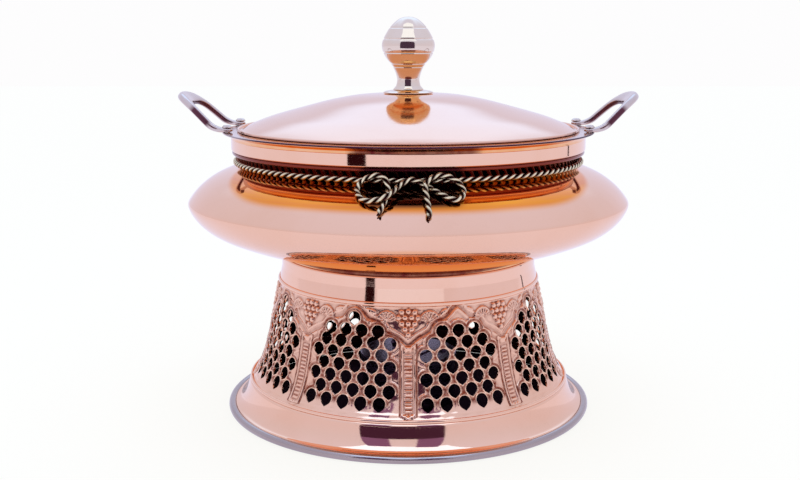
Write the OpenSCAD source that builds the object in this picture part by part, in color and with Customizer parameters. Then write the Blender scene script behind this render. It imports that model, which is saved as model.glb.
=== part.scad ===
// Copper chafing dish food warmer: a pierced stand over a fuel burner, a water bowl, a food pan
// with two riveted handles, and a domed lid with a turned knob. A twisted cord is tied round the
// bowl's neck.
// Millimetres. Origin: centre of the foot, on the table. +Z is up, -Y is the front, the handles
// are at +X and -X. Left and right are as seen from the front: left is -X.

/* [Stand] */
// Height of the stand's top edge
stand_h = 140.3; // [138:0.1:140.3]
// Radius of the stand's straight neck
stand_neck_r = 111.4; // [110:0.1:112]
// Outer radius of the rolled steel wire round the foot
foot_r = 161; // [160:0.5:163]
// Sheet thickness of the stand
stand_t = 1.2; // [1:0.1:1.6]
// Number of pierced panels round the stand
panels = 9; // [7:1:9]
// How many degrees wider the front left panel is than an even share
wide_extra = 3.7; // [0:0.1:4]

/* [Piercing] */
// Width of one fish-scale hole
hole_w = 10.2; // [8:0.1:10.8]
// Height of one fish-scale hole, from its round top to its point
hole_h = 11; // [10.3:0.1:11.8]
// Angle between neighbouring holes of one row
hole_step = 6.6; // [6:0.1:7]
// Height between neighbouring rows of holes
row_step = 9.25; // [9:0.05:9.5]
// Height of the lowest row
row_z = 38; // [37:0.5:39]

/* [Bowl] */
// Outer radius of the bowl at its widest
bowl_r = 190; // [187:0.5:192]
// Outer radius of the bowl's neck
neck_r = 146.3; // [146:0.1:146.6]
// Sheet thickness of the bowl
bowl_t = 1.2; // [1:0.1:1.4]
// Thickness of the tied cord
rope_d = 4.8; // [4:0.1:4.8]

/* [Pan] */
// Inner radius of the food pan
pan_r = 139; // [136:0.5:139]
// Height of the pan's floor above the table
pan_floor = 152; // [152:1:170]
// Outer radius of the steel flange
flange_r = 160; // [159:0.5:161]
// Outer radius of the copper collar
collar_r = 152.7; // [152:0.1:153]
// Height of the flange's top face
flange_z = 244.4; // [244.4:0.1:244.6]

/* [Handles] */
// How far the handles reach from the centre
handle_reach = 199.5; // [196:0.5:204]
// How far to the side of the centre the rivets stand
rivet_x = 151.5; // [151.3:0.1:151.7]
// Half the distance between a handle's two rivets
rivet_y = 37; // [36:0.5:37.5]
// Radius of a rivet's shank
rivet_r = 2.2; // [1.8:0.1:2.4]

/* [Lid] */
// Radius of the lid's edge
lid_r = 142.5; // [141:0.5:142.5]
// Height of the lid's crown above its edge
lid_rise = 29.6; // [26:0.2:30]
// Sheet thickness of the lid
lid_t = 1.2; // [1:0.1:1.4]
// Largest radius of the turned knob
knob_r = 22.7; // [20:0.1:24]

/* [Burner] */
// Outer radius of the fuel cup
cup_r = 42; // [38:0.5:44]
// Height of the fuel cup
cup_h = 44; // [38:1:50]
// Radius of the flame opening
flame_r = 15; // [10:0.5:17]

/* [Hidden] */
$fn = 96;
copper = [0.86, 0.55, 0.45];
steel = [0.78, 0.77, 0.80];
cord_colour = [0.85, 0.80, 0.62];
wick_colour = [0.93, 0.92, 0.88];
gap = 0.1; // between stacked pieces

// ---- Curves and turned shapes. A profile is a list of [radius, height]. ----
// Catmull-Rom point between b (t = 0) and c (t = 1); a and d are the points on either side.
function curve_point(a, b, c, d, t) =
  0.5 * (2 * b + (c - a) * t + (2 * a - 5 * b + 4 * c - d) * t * t
    + (3 * b - a - 3 * c + d) * t * t * t);
// A smooth curve through all the points, with a number of steps to each span.
function curve(points, steps) = let (last = len(points) - 1) concat(
  [for (i = [0 : last - 1], k = [0 : steps - 1])
    curve_point(points[max(i - 1, 0)], points[i], points[i + 1], points[min(i + 2, last)],
      k / steps)],
  [points[last]]);
function reversed(points) = [for (i = [len(points) - 1 : -1 : 0]) points[i]];
// Unit normal at point i, to the right of the profile's direction. Shell profiles keep their
// outside on that side.
function normal_at(profile, i) =
  let (along = profile[min(i + 1, len(profile) - 1)] - profile[max(i - 1, 0)])
  [along[1], -along[0]] / norm(along);
// The same profile, moved inwards by a depth; a negative depth moves it outwards.
function inset(profile, depth) = [for (i = [0 : len(profile) - 1])
  let (moved = profile[i] - depth * normal_at(profile, i)) [max(moved[0], 0), moved[1]]];
// Largest radius at which a profile crosses height z.
function radius_at(profile, z) = max([for (i = [0 : len(profile) - 2])
  let (low = profile[i], high = profile[i + 1])
  if ((low[1] - z) * (high[1] - z) <= 0 && low[1] != high[1])
    low[0] + (high[0] - low[0]) * (z - low[1]) / (high[1] - low[1])]);
// Points of an arc round [x, z].
function arc(x, z, radius, from, to) = [for (k = [0 : 6])
  let (a = from + (to - from) * k / 6) [x + radius * cos(a), z + radius * sin(a)]];

module turned(outline) {
  rotate_extrude($fn = 128) polygon(outline);
}
module ring(radius, z, wire_r) {
  rotate_extrude($fn = 128) translate([radius, z]) circle(r = wire_r, $fn = 24);
}
module shell(outer, thickness) {
  turned(concat(outer, reversed(inset(outer, thickness))));
}
// An upright cylinder on the axis, with its underside at z.
module disc(z, radius, height, sides = 32) {
  translate([0, 0, z]) cylinder(r = radius, h = height, $fn = sides);
}

// ---- Stand ----
bead_low_z = 27;
bead_high_z = 115;
neck_low_z = 128; // the wall is straight above this
wall_spread = 20.3; // even widening for each 100 mm down
foot_spread = 8.5; // quick widening near the foot
foot_wire_r = 3.3;
foot_wire_x = foot_r - foot_wire_r;
top_wire_r = 1.9;
top_ring_r = stand_neck_r - 1.8;

// The wall widens gently downwards, then quickly near the foot.
function wall_drop(z) = max(0, 127 - z) / 100;
function wall_r(z) =
  stand_neck_r + wall_spread * wall_drop(z) + foot_spread * pow(wall_drop(z), 8);

// Below the lower bead the wall flares out to the foot wire.
flare_top_r = wall_r(bead_low_z - 2);
flare_end_r = foot_wire_x - 3.2;
flare_top_z = 24.6;
flare_h = 19;
flare_angle = 35;
stand_profile = concat(
  [for (a = [90 : -11 : flare_angle])
    [flare_top_r + (flare_end_r - flare_top_r) * (1 - cos(a) / cos(flare_angle)),
      flare_top_z - flare_h * (sin(a) - sin(flare_angle)) / (1 - sin(flare_angle))]],
  [for (z = [bead_low_z : 7 : 118]) [wall_r(z), z]],
  [[wall_r(122), 122], [stand_neck_r, neck_low_z], [stand_neck_r, stand_h - 4.2]]);

// Panels are counted from the front towards +X; the last, at the front left, is the wide one.
// Rows are counted from the lowest, row 0.
share = (360 - wide_extra) / panels;
top_row = 7;
wide_shift = 1.6; // degrees that the wide panel's rows move, left and right in turn
function is_wide(panel) = panel == panels - 1;
// The wide panel holds one more hole in its odd rows and in row 6. Panel 0 has no top row.
function hole_count(panel, row) = let (extra = is_wide(panel) ? 1 : 0)
  row == top_row ? (panel == 0 ? 0 : 1)
  : row == 6 ? 3 + extra
  : row % 2 == 0 ? 5
  : 4 + extra;
function panel_mid(panel) =
  is_wide(panel) ? -(share + wide_extra) / 2 : (panel + 0.5) * share;
function row_mid(panel, row) = panel_mid(panel)
  + (!is_wide(panel) || row >= 6 ? 0 : row % 2 == 0 ? -wide_shift : wide_shift);

module scale_hole() {
  arc_r = hole_w / 2;
  polygon(concat(
    [for (a = [-10 : 40 : 190]) [arc_r * cos(a), hole_h / 2 - arc_r + arc_r * sin(a)]],
    [[0, -hole_h / 2]]));
}
module stand_shell() {
  color(copper) difference() {
    shell(stand_profile, stand_t);
    for (panel = [0 : panels - 1], row = [0 : top_row]) {
      count = hole_count(panel, row);
      z = row_z + row * row_step;
      for (k = [0 : 1 : count - 1])
        rotate([0, 0, row_mid(panel, row) + (k - (count - 1) / 2) * hole_step])
          translate([0, -wall_r(z) - 4, z])
            rotate([-90, 0, 0]) mirror([0, 1, 0]) linear_extrude(9) scale_hole();
    }
  }
}
module stand_rim_wire() {
  color(steel) ring(foot_wire_x, foot_wire_r, foot_wire_r);
}
module stand_top_ring() {
  color(copper) ring(top_ring_r, stand_h - top_wire_r, top_wire_r);
}
// A half-round moulding on the wall.
module bead(z, radius, depth) {
  color(copper) turned([for (a = [-90 : 18 : 90])
    [radius + 0.05 + depth * cos(a), z + 1.8 * sin(a)]]);
}
module stand_upper_bead() {
  bead(bead_high_z, wall_r(bead_high_z - 1.8), depth = 1.3);
}
module stand_lower_bead() {
  bead(bead_low_z, wall_r(bead_low_z - 1.9) + 0.2, depth = 1.5);
}

// ---- Bowl ----
seat_z = stand_h + 0.4; // where the bowl sits over the stand's top ring
// Outside of the bowl, from the centre of its floor to the rim.
bowl_profile = curve([
  [0, 114.5], [38, 115], [62, 119.5], [85, 128.5], [top_ring_r, seat_z],
  [125.1, 143.4], [140.4, 148.2], [158, 154.6], [173, 161.8], [184, 171.2],
  [bowl_r, 182], [188.2, 187.8], [180, 197.2], [168.3, 205.6], [155, 211.4],
  [neck_r + 3.2, 213.4], [neck_r + 0.9, 216], [neck_r, 219], [neck_r + 0.7, 221.8],
  [neck_r + 2.3, 224], [neck_r + 3.7, 225.4]], 3);

module bowl_shell() {
  color(copper) shell(bowl_profile, bowl_t);
}
module bowl_rim_wire() {
  color(copper) ring(neck_r + 4.35, 226.9, 1.4);
}

// ---- Cord ----
cord_r = rope_d / 2;
// The bowl's outside above its widest part, where the bow lies.
shoulder = [for (point = bowl_profile) if (point[1] > 183) point];
// The bow, from the left tail's tip, round the left loop, over the middle, round the right
// loop, to the right tail's tip. Columns: x, z, lift off the bowl.
bow_line = [
  [-21.7, 198, 0], [-19, 203.5, 0], [-16.2, 208, 0], [-14.6, 213.4, 0], [-16.5, 219.8, 0],
  [-21, 223.1, 0], [-27.7, 222.2, 0], [-34.5, 218.6, 0], [-38.1, 213.1, 0],
  [-36.1, 208.7, 0], [-30.8, 206.4, 0.5], [-24.3, 207.3, 2], [-17.8, 209.4, 4.6],
  [-12.8, 212.4, 4.8], [-6.9, 216.1, 3.5], [-1, 219.5, 2], [3.5, 220.3, 1], [8.7, 218.4, 0],
  [14.6, 214.7, 0], [21.1, 211.5, 0], [28.3, 208.4, 0], [34.8, 206.8, 0], [39.4, 208.7, 0],
  [40.6, 212.4, 0], [37.8, 217, 0], [31.7, 221.3, 0], [25.7, 223, 0], [19.8, 222.7, 1.5],
  [15.3, 220.5, 4.2], [12, 216.9, 4.9], [12.7, 211.9, 2.5], [13.6, 206.4, 0.6],
  [14.9, 201.2, 0], [14.8, 196.3, 0]];

// Places a bow point in front of the bowl, clear of the shoulder and of the neck cord.
function on_bowl(point) = let (
    off = cord_r + 0.4 + point[2],
    radius = max(radius_at(inset(shoulder, -off), min(point[1], 218)),
      neck_r + 0.6 + rope_d + off))
  [point[0], -sqrt(radius * radius - point[0] * point[0]), point[1]];

module neck_cord() {
  color(cord_colour) ring(neck_r + 0.3 + cord_r, 218.6, cord_r);
}
module cord_bow() {
  path = curve([for (point = bow_line) on_bowl(point)], 2);
  color(cord_colour) for (i = [0 : len(path) - 2]) hull() {
    translate(path[i]) rotate([0, 90, 0]) sphere(r = cord_r, $fn = 6);
    translate(path[i + 1]) rotate([0, 90, 0]) sphere(r = cord_r, $fn = 6);
  }
}

// ---- Pan ----
liner_t = 1;
flange_t = 1.2;
corner_r = 20; // inside the pan, between floor and wall
corner_x = pan_r - corner_r;
corner_z = pan_floor + corner_r + liner_t;
collar_z = 228.65; // underside of the collar
collar_in_r = pan_r + liner_t + 0.2;
collar_top_z = flange_z - 1.3;

// Places its children at the two rivets of one side: -1 is left, 1 is right.
module at_rivets(side) {
  for (y = [-rivet_y, rivet_y]) translate([side * rivet_x, y, 0]) children();
}
module rivet_holes(side) {
  at_rivets(side) disc(220, rivet_r + 0.05, 40);
}
module pan_liner() {
  color(steel) difference() {
    turned(concat(
      [[0, pan_floor]],
      arc(corner_x, corner_z, corner_r + liner_t, -90, 0),
      [[pan_r + liner_t, flange_z - flange_t], [flange_r, flange_z - flange_t],
        [flange_r, flange_z], [pan_r - 0.5, flange_z], [pan_r, flange_z - 1]],
      arc(corner_x, corner_z, corner_r, 0, -90),
      [[0, pan_floor + liner_t]]));
    rivet_holes(-1);
    rivet_holes(1);
  }
}
module pan_collar() {
  color(copper) turned([
    [collar_in_r, collar_z], [collar_in_r, collar_z + 1], [collar_r - 3, collar_z + 1],
    [collar_r - 1.4, collar_z + 1.45], [collar_r - 1, collar_z + 2.55],
    [collar_r - 1, collar_top_z], [collar_r, collar_top_z], [collar_r, collar_z + 2.35],
    [collar_r - 0.7, collar_z + 0.65], [collar_r - 2.4, collar_z]]);
}
// A cove that swells out under the flange.
module collar_bead() {
  end_angle = 78;
  inner_r = collar_r + 0.05;
  color(copper) turned(concat(
    [for (a = [0 : 13 : end_angle])
      [inner_r + 2.9 * (1 - cos(a)) / (1 - cos(end_angle)),
        flange_z - 6.3 + 4.3 * sin(a) / sin(end_angle)]],
    [[collar_r + 2.95, flange_z - 1.7], [collar_r + 2.5, collar_top_z],
      [inner_r, collar_top_z]]));
}

// ---- Handles ----
// A handle is a cast bar: flat pads on the flange, two legs rising outwards and a broader,
// bowed grip.
bar_half_t = 2.9;
bar_slope = 39; // degrees that the loop rises outwards
grip_x = handle_reach - 7.1;
pad_h = 3.4;
// Stations of one leg, then the grip's middle.
// Columns: x from grip_x, distance from the middle in y, height above the flange, radius.
leg = [
  [-26.8, rivet_y - 0.8, 4.6, 2.9],
  [-11, rivet_y - 7.5, 19.4, 3.3],
  [-3, rivet_y - 19, 25.6, 5.6]];
grip_middle = [0, 0, 26.8, 6.8];

// One station of the bar: a disc lying in the loop's sloping plane, on the +Y or -Y side.
module station(place, side_y) {
  translate([grip_x + place[0], side_y * place[1], flange_z + place[2]])
    rotate([0, -bar_slope, 0])
      cylinder(r = place[3], h = 2 * bar_half_t, center = true, $fn = 24);
}
module handle(side) {
  color(steel) mirror([side < 0 ? 1 : 0, 0, 0]) difference() {
    union() {
      for (side_y = [-1, 1]) {
        hull() {
          translate([rivet_x, side_y * rivet_y, 0]) disc(flange_z + 0.05, 4.4, pad_h);
          station(leg[0], side_y);
        }
        for (i = [0, 1]) hull() {
          station(leg[i], side_y);
          station(leg[i + 1], side_y);
        }
      }
      hull() {
        for (side_y = [-1, 1]) station(leg[2], side_y);
        station(grip_middle, 1);
      }
    }
    rivet_holes(1);
    // spot-faced seats for the rivet heads
    at_rivets(1) disc(flange_z + pad_h, 4.1, 6);
  }
}
module rivets(side) {
  color(steel) at_rivets(side) {
    disc(flange_z - 1.15, rivet_r, 5);
    translate([0, 0, flange_z + pad_h + 0.05]) rotate_extrude($fn = 40)
      polygon([[0, 0], [3.8, 0], [3.7, 0.8], [3, 1.7], [1.8, 2.3], [0, 2.6]]);
  }
}
module handle_left() { handle(-1); }
module handle_right() { handle(1); }
module handle_rivets_left() { rivets(-1); }
module handle_rivets_right() { rivets(1); }

// ---- Lid ----
lid_edge_z = flange_z + 1.3;
crown_z = lid_edge_z + lid_rise;
screw_r = 3;
screw_hole_r = 3.2;
// Columns: share of the lid's radius, share of its rise.
lid_shape = [[1, 0], [0.95, 0.125], [0.85, 0.31], [0.76, 0.44], [0.63, 0.61], [0.50, 0.775],
  [0.40, 0.875], [0.30, 0.95], [0.155, 0.992], [0, 1]];
lid_profile = curve(
  [for (point = lid_shape) [lid_r * point[0], lid_edge_z + lid_rise * point[1]]], 3);

module lid_shell() {
  color(copper) difference() {
    shell(concat([[lid_r + 2.5, lid_edge_z + 0.1]], lid_profile), lid_t);
    disc(crown_z - 20, screw_hole_r, 40);
  }
}
module lid_rim_ring() {
  color(copper) ring(lid_r + 3.75, lid_edge_z + 0.05, 1.2);
}
module lid_locating_ring() {
  color(steel) turned([
    [pan_r - 3.2, flange_z - 7], [pan_r - 2.2, flange_z - 7],
    [pan_r - 2.2, flange_z + 1.2], [pan_r - 1.2, flange_z + 1.2],
    [pan_r - 1.2, flange_z + 2.1], [pan_r - 3.2, flange_z + 3]]);
}

// ---- Knob ----
// A narrow neck swells to a pear with shallow grooves, over a separate round base.
base_z = crown_z + gap;
base_h = 2.5;
knob_z = base_z + base_h + gap;
// Side of the knob above its foot. Columns: radius, height above knob_z.
knob_shape = [[10.6, 3.4], [9.7, 7.2], [9.9, 10.6], [11.7, 16.4], [knob_r - 8.2, 21.6],
  [knob_r - 4, 26.6], [knob_r - 1.2, 31.6], [knob_r, 36.6], [knob_r - 0.7, 41.8],
  [knob_r - 4.6, 49.4], [knob_r - 8.3, 54.6], [9, 59.4], [4.6, 61.4], [0, 62]];
// Grooves round the knob, in the same columns.
knob_grooves = [[knob_r - 0.9, 43], [knob_r - 6.6, 51.4], [knob_r - 2.2, 31],
  [knob_r - 8.6, 21]];
washer_top_z = crown_z - lid_t - gap;
washer_h = 1.2;
head_h = 3;
head_top_z = washer_top_z - washer_h - gap;

module knob() {
  color(steel) difference() {
    turned(concat(
      [[0, knob_z], [13.2, knob_z], [12.6, knob_z + 1.2]],
      [for (point = curve(knob_shape, 3)) [max(0, point[0]), knob_z + point[1]]]));
    for (groove = knob_grooves)
      rotate_extrude($fn = 128)
        translate([groove[0] + 0.6, knob_z + groove[1]]) circle(r = 0.7, $fn = 16);
    disc(knob_z - 1, screw_r + 0.05, 19);
  }
}
module knob_base() {
  color(steel) difference() {
    turned([[0, base_z], [21.2, base_z], [21.7, base_z + 0.6], [21.4, base_z + 1.2],
      [19, base_z + 1.8], [14.5, base_z + base_h], [0, base_z + base_h]]);
    disc(base_z - 1, screw_hole_r, 6);
  }
}
module knob_washer() {
  color(steel) difference() {
    disc(washer_top_z - washer_h, 8, washer_h, sides = 48);
    disc(washer_top_z - 3, screw_hole_r, 6);
  }
}
module knob_screw() {
  color(steel) difference() {
    union() {
      disc(head_top_z, screw_r, 20);
      disc(head_top_z - head_h, 5.2, head_h, sides = 40);
    }
    // driver slot
    translate([-6, -0.7, head_top_z - head_h - 0.7]) cube([12, 1.4, 2]);
  }
}

// ---- Burner ----
sheet_t = 1; // cup, cover and shutter
cover_z = cup_h + gap;
cover_r = cup_r + gap; // inside the cover's skirt
skirt_z = cover_z - 9;
shutter_z = cover_z + sheet_t + gap;
pivot_x = 30;
shutter_knob_x = -12;

module burner_cup() {
  color(steel) turned([[0, 0], [cup_r - 3, 0], [cup_r - 0.9, 0.9], [cup_r, 3], [cup_r, cup_h],
    [cup_r - sheet_t, cup_h], [cup_r - sheet_t, 3.2], [cup_r - 3.2, sheet_t], [0, sheet_t]]);
}
module burner_wick() {
  color(wick_colour) disc(sheet_t + gap, cup_r - 3.4, cup_h - 12, sides = 64);
}
module burner_cover() {
  color(steel) difference() {
    turned([[0, cover_z], [cover_r, cover_z], [cover_r, skirt_z], [cover_r + sheet_t, skirt_z],
      [cover_r + sheet_t, cover_z + 0.4], [cup_r + 0.3, cover_z + sheet_t],
      [0, cover_z + sheet_t]]);
    disc(cover_z - 1, flame_r, 4, sides = 64);
    translate([pivot_x, 0, 0]) disc(cover_z - 1, 1.8, 4);
  }
}
module shutter_rivet() {
  color(steel) translate([pivot_x, 0, 0]) {
    disc(cover_z - 1.1, 3, 1);
    disc(cover_z - 0.2, 1.75, 2.7);
    disc(shutter_z + sheet_t + gap, 3.2, 1);
  }
}
module burner_shutter() {
  color(steel) difference() {
    union() {
      disc(shutter_z, flame_r + 3.5, sheet_t, sides = 64);
      translate([0, -4.5, shutter_z]) cube([pivot_x, 9, sheet_t]);
      translate([pivot_x, 0, 0]) disc(shutter_z, 4.5, sheet_t, sides = 40);
    }
    translate([pivot_x, 0, 0]) disc(shutter_z - 1, 1.82, 3);
    translate([shutter_knob_x, 0, 0]) disc(shutter_z - 1, 1.55, 3);
  }
}
module shutter_knob() {
  color(steel) translate([shutter_knob_x, 0, shutter_z]) {
    disc(0.05, 1.5, 1.2);
    translate([0, 0, sheet_t + gap]) rotate_extrude($fn = 40)
      polygon([[0, 0], [2.6, 0], [2.2, 1.6], [3.2, 4.4], [3.9, 6.2], [3.4, 7.8], [2, 8.8],
        [0, 9.2]]);
  }
}

stand_shell();
stand_rim_wire();
stand_top_ring();
stand_upper_bead();
stand_lower_bead();
bowl_shell();
bowl_rim_wire();
neck_cord();
cord_bow();
pan_liner();
pan_collar();
collar_bead();
handle_left();
handle_right();
handle_rivets_left();
handle_rivets_right();
lid_shell();
lid_rim_ring();
lid_locating_ring();
knob();
knob_base();
knob_screw();
knob_washer();
burner_cup();
burner_wick();
burner_cover();
shutter_rivet();
burner_shutter();
shutter_knob();
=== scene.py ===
"""A covered copper dish on a pierced stand, with a burner under it.

The axis is Z and the stand's foot is at Z = 0. The front, with the corded bow, faces -Y and
the two handles lie on the X axis. Lengths are millimetres until a mesh is made, unless noted.
Azimuths are degrees from the front, growing towards +X.
"""
import math
import bpy
import numpy as np
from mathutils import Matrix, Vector
from mathutils.geometry import delaunay_2d_cdt


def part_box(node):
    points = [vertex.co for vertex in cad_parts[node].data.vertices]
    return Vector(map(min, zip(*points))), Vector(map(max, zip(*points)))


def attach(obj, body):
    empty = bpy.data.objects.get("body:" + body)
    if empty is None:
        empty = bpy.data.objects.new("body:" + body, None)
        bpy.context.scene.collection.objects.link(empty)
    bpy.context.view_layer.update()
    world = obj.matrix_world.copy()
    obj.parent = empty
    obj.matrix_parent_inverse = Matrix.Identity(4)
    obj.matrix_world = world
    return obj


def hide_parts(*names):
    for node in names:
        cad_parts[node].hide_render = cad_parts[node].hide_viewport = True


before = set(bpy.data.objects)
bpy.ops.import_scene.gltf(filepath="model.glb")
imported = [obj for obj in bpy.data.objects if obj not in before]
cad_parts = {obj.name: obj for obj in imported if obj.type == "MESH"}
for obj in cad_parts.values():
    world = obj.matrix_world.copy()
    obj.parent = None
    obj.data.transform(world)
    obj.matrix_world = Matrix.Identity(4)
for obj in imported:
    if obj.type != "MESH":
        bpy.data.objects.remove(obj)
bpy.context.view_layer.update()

MM = 0.001
PI = math.pi

# ----------------------------------------------------------------------------------------------
# Main sizes; those the CAD nodes hold are read from them
# ----------------------------------------------------------------------------------------------


def extent(node):
    """Bottom height, top height and outer radius of a CAD node."""
    low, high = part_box(node)
    return low.z / MM, high.z / MM, max(high.x, high.y) / MM


_, STAND_H, stand_ring_r = extent("stand_top_ring")
STAND_NECK = stand_ring_r - 0.1
FOOT_R = extent("stand_rim_wire")[2]
BOWL_R = extent("bowl_shell")[2]
CROWN = extent("knob_base")[0] - 0.1
PAN_FLOOR, FLANGE_Z, FLANGE_R = extent("pan_liner")
COLLAR_R = extent("pan_collar")[2]
KNOB_R = extent("knob")[2]
HANDLE_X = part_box("handle_right")[1].x / MM
cord_bottom, cord_top, cord_outer_r = extent("neck_cord")
ROPE_D = cord_top - cord_bottom
CORD_Z = (cord_top + cord_bottom) / 2
CORD_R = cord_outer_r - ROPE_D / 2
LID_R = 142.5
PAN_R = 139.0
NECK_R = 146.3
SEAT_Z = STAND_H + 0.4
WIRE_R = 3.3
STAND_T = 1.2
BOWL_T = 1.2
LID_T = 1.2

# ----------------------------------------------------------------------------------------------
# Curves and outlines; an outline is rows of (radius, height)
# ----------------------------------------------------------------------------------------------


def curve(points, steps):
    """A Catmull-Rom curve through all the points, with this many steps a span."""
    points = np.array(points, float)
    count = len(points)
    out = []
    for i in range(count - 1):
        p0, p1, p2, p3 = points[max(i - 1, 0)], points[i], points[i + 1], points[min(i + 2, count - 1)]
        for k in range(steps):
            t = k / steps
            out.append(0.5 * (2 * p1 + (p2 - p0) * t + (2 * p0 - 5 * p1 + 4 * p2 - p3) * t * t
                              + (3 * p1 - p0 - 3 * p2 + p3) * t ** 3))
    out.append(points[-1])
    return np.array(out)


def smooth_open(points, rounds):
    """Evens out the bends of an open curve, with its two ends held."""
    points = np.array(points, float)
    for _ in range(rounds):
        eased = points.copy()
        eased[1:-1] = 0.25 * points[:-2] + 0.5 * points[1:-1] + 0.25 * points[2:]
        points = eased
    return points


def inset(outline, thickness):
    """The outline moved sideways by the thickness, kept off the far side of the axis."""
    outline = np.array(outline, float)
    run = np.gradient(outline, axis=0)
    normal = np.stack([run[:, 1], -run[:, 0]], 1)
    normal /= np.maximum(np.linalg.norm(normal, axis=1), 1e-9)[:, None]
    moved = outline - thickness * normal
    moved[:, 0] = np.maximum(moved[:, 0], 0)
    return moved


def closed_sheet(outer, thickness):
    return np.vstack([outer, inset(outer, thickness)[::-1]])


def arc_points(radius, height, arc_r, start, end, count):
    """Points on an arc centred at (radius, height), between two angles in degrees."""
    angle = np.radians(np.linspace(start, end, count))
    return np.stack([radius + arc_r * np.cos(angle), height + arc_r * np.sin(angle)], 1)


def torus_loop(radius, height, wire_r, count):
    angle = np.linspace(0, 2 * PI, count, endpoint=False)
    return np.stack([radius + wire_r * np.cos(angle), height + wire_r * np.sin(angle)], 1)


def round_loop(corners, radii, steps):
    """A closed outline whose corners become arcs, with a support point on either side."""
    corners = np.array(corners, float)
    out = []
    for i, radius in enumerate(radii):
        before, corner, after = corners[i - 1], corners[i], corners[(i + 1) % len(corners)]
        if radius <= 0 or corner[0] <= 1e-6:
            out.append(corner)
            continue
        back, ahead = before - corner, after - corner
        back_len, ahead_len = np.linalg.norm(back), np.linalg.norm(ahead)
        back, ahead = back / back_len, ahead / ahead_len
        half = math.acos(np.clip(back @ ahead, -1, 1)) / 2
        if half > PI / 2 - 0.05:
            out.append(corner)
            continue
        cut = min(radius / math.tan(half), 0.45 * back_len, 0.45 * ahead_len)
        start, end = corner + back * cut, corner + ahead * cut
        support = min(0.3, 0.3 * cut + 0.1)
        if back_len - cut > 2 * support:
            out.append(start + back * support)
        for k in range(steps + 1):
            t = k / steps
            out.append((1 - t) ** 2 * start + 2 * t * (1 - t) * corner + t * t * end)
        if ahead_len - cut > 2 * support:
            out.append(end + ahead * support)
    return np.array(out)


# Soft masks and rounded shapes, all from 0 to 1

def rise(value, start, width):
    """0 up to start, then a straight climb to 1 over the width."""
    return np.clip((value - start) / width, 0, 1)


def fall(value, end, width):
    """1, then a straight drop over the width that reaches 0 at end."""
    return np.clip((end - value) / width, 0, 1)


def smooth_step(t):
    t = np.clip(t, 0, 1)
    return t * t * (3 - 2 * t)


def ridge(distance, half):
    """A rounded ridge, 1 at its crest, 0 beyond half on either side."""
    t = np.clip(np.abs(distance) / half, 0, 1)
    return (1 - t * t) ** 2


def dome(distance, radius):
    return np.sqrt(np.clip(1 - (distance / radius) ** 2, 0, 1))


# ----------------------------------------------------------------------------------------------
# Mesh building; a shape is a pair (vertices, faces)
# ----------------------------------------------------------------------------------------------


def add_piece(name, shape, materials, body, replaces,
              attrs=None, face_materials=None, sharp_edges=None):
    verts, faces = shape
    mesh = bpy.data.meshes.new(name)
    mesh.from_pydata((np.asarray(verts, float) * MM).tolist(), [], faces)
    mesh.validate(clean_customdata=False)
    for polygon in mesh.polygons:
        polygon.use_smooth = True
    for key, values in (attrs or {}).items():
        layer = mesh.attributes.new(key, "FLOAT", "POINT")
        layer.data.foreach_set("value", np.asarray(values, np.float32))
    obj = bpy.data.objects.new(name, mesh)
    bpy.context.scene.collection.objects.link(obj)
    for material in materials:
        mesh.materials.append(material)
    if face_materials is not None:
        mesh.polygons.foreach_set("material_index", np.asarray(face_materials, np.int32))
    if sharp_edges:
        layer = mesh.attributes.new("sharp_edge", "BOOLEAN", "EDGE")
        ends = np.empty(len(mesh.edges) * 2, np.int32)
        mesh.edges.foreach_get("vertices", ends)
        ends = np.sort(ends.reshape(-1, 2), axis=1).astype(np.int64)
        base = 10_000_000   # packs an edge's two vertex numbers into one
        wanted = np.array([min(a, b) * base + max(a, b) for a, b in sharp_edges], np.int64)
        layer.data.foreach_set("value", np.isin(ends[:, 0] * base + ends[:, 1], wanted))
    mesh.update()
    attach(obj, body)
    if replaces:
        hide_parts(*replaces)
    return obj


def lathe_shape(loop, segments=320):
    """A closed outline turned about Z; it may touch the axis."""
    loop = np.array(loop, float)
    after = np.roll(loop, -1, axis=0)
    area = 0.5 * np.sum(loop[:, 0] * after[:, 1] - after[:, 0] * loop[:, 1])
    if area < 0:
        loop = loop[::-1]
    verts, rings = [], []
    angle = np.linspace(0, 2 * PI, segments, endpoint=False)
    cos, sin = np.cos(angle), np.sin(angle)
    for r, z in loop:
        if r < 1e-6:
            rings.append((len(verts), 1))
            verts.append((0, 0, z))
        else:
            rings.append((len(verts), segments))
            verts.extend(zip(r * cos, r * sin, np.full(segments, z)))
    faces = []
    for i in range(len(rings)):
        (a, a_count), (b, b_count) = rings[i], rings[(i + 1) % len(rings)]
        if a_count == 1 and b_count == 1:
            continue
        for k in range(segments):
            k2 = (k + 1) % segments
            if a_count == 1:
                faces.append((a, b + k2, b + k))
            elif b_count == 1:
                faces.append((a + k, a + k2, b))
            else:
                faces.append((a + k, a + k2, b + k2, b + k))
    return np.array(verts, float), faces


def lathe(name, loop, material, body, replaces=(), segments=320):
    return add_piece(name, lathe_shape(loop, segments), [material], body, replaces)


def azimuth_of(verts):
    return np.degrees(np.arctan2(verts[:, 0], -verts[:, 1]))


def join_shapes(shapes):
    all_verts, all_faces, start = [], [], 0
    for verts, faces in shapes:
        all_verts.append(verts)
        all_faces.extend(tuple(i + start for i in face) for face in faces)
        start += len(verts)
    return np.vstack(all_verts), all_faces


def path_frames(path, closed, up):
    """Side and up directions along a path, kept as near to up as they can be."""
    if closed:
        tangent = np.roll(path, -1, 0) - np.roll(path, 1, 0)
    else:
        tangent = np.gradient(path, axis=0)
    tangent /= np.linalg.norm(tangent, axis=1)[:, None]
    side = np.cross(tangent, np.array(up, float))
    side /= np.maximum(np.linalg.norm(side, axis=1), 1e-9)[:, None]
    return side, np.cross(side, tangent)


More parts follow.
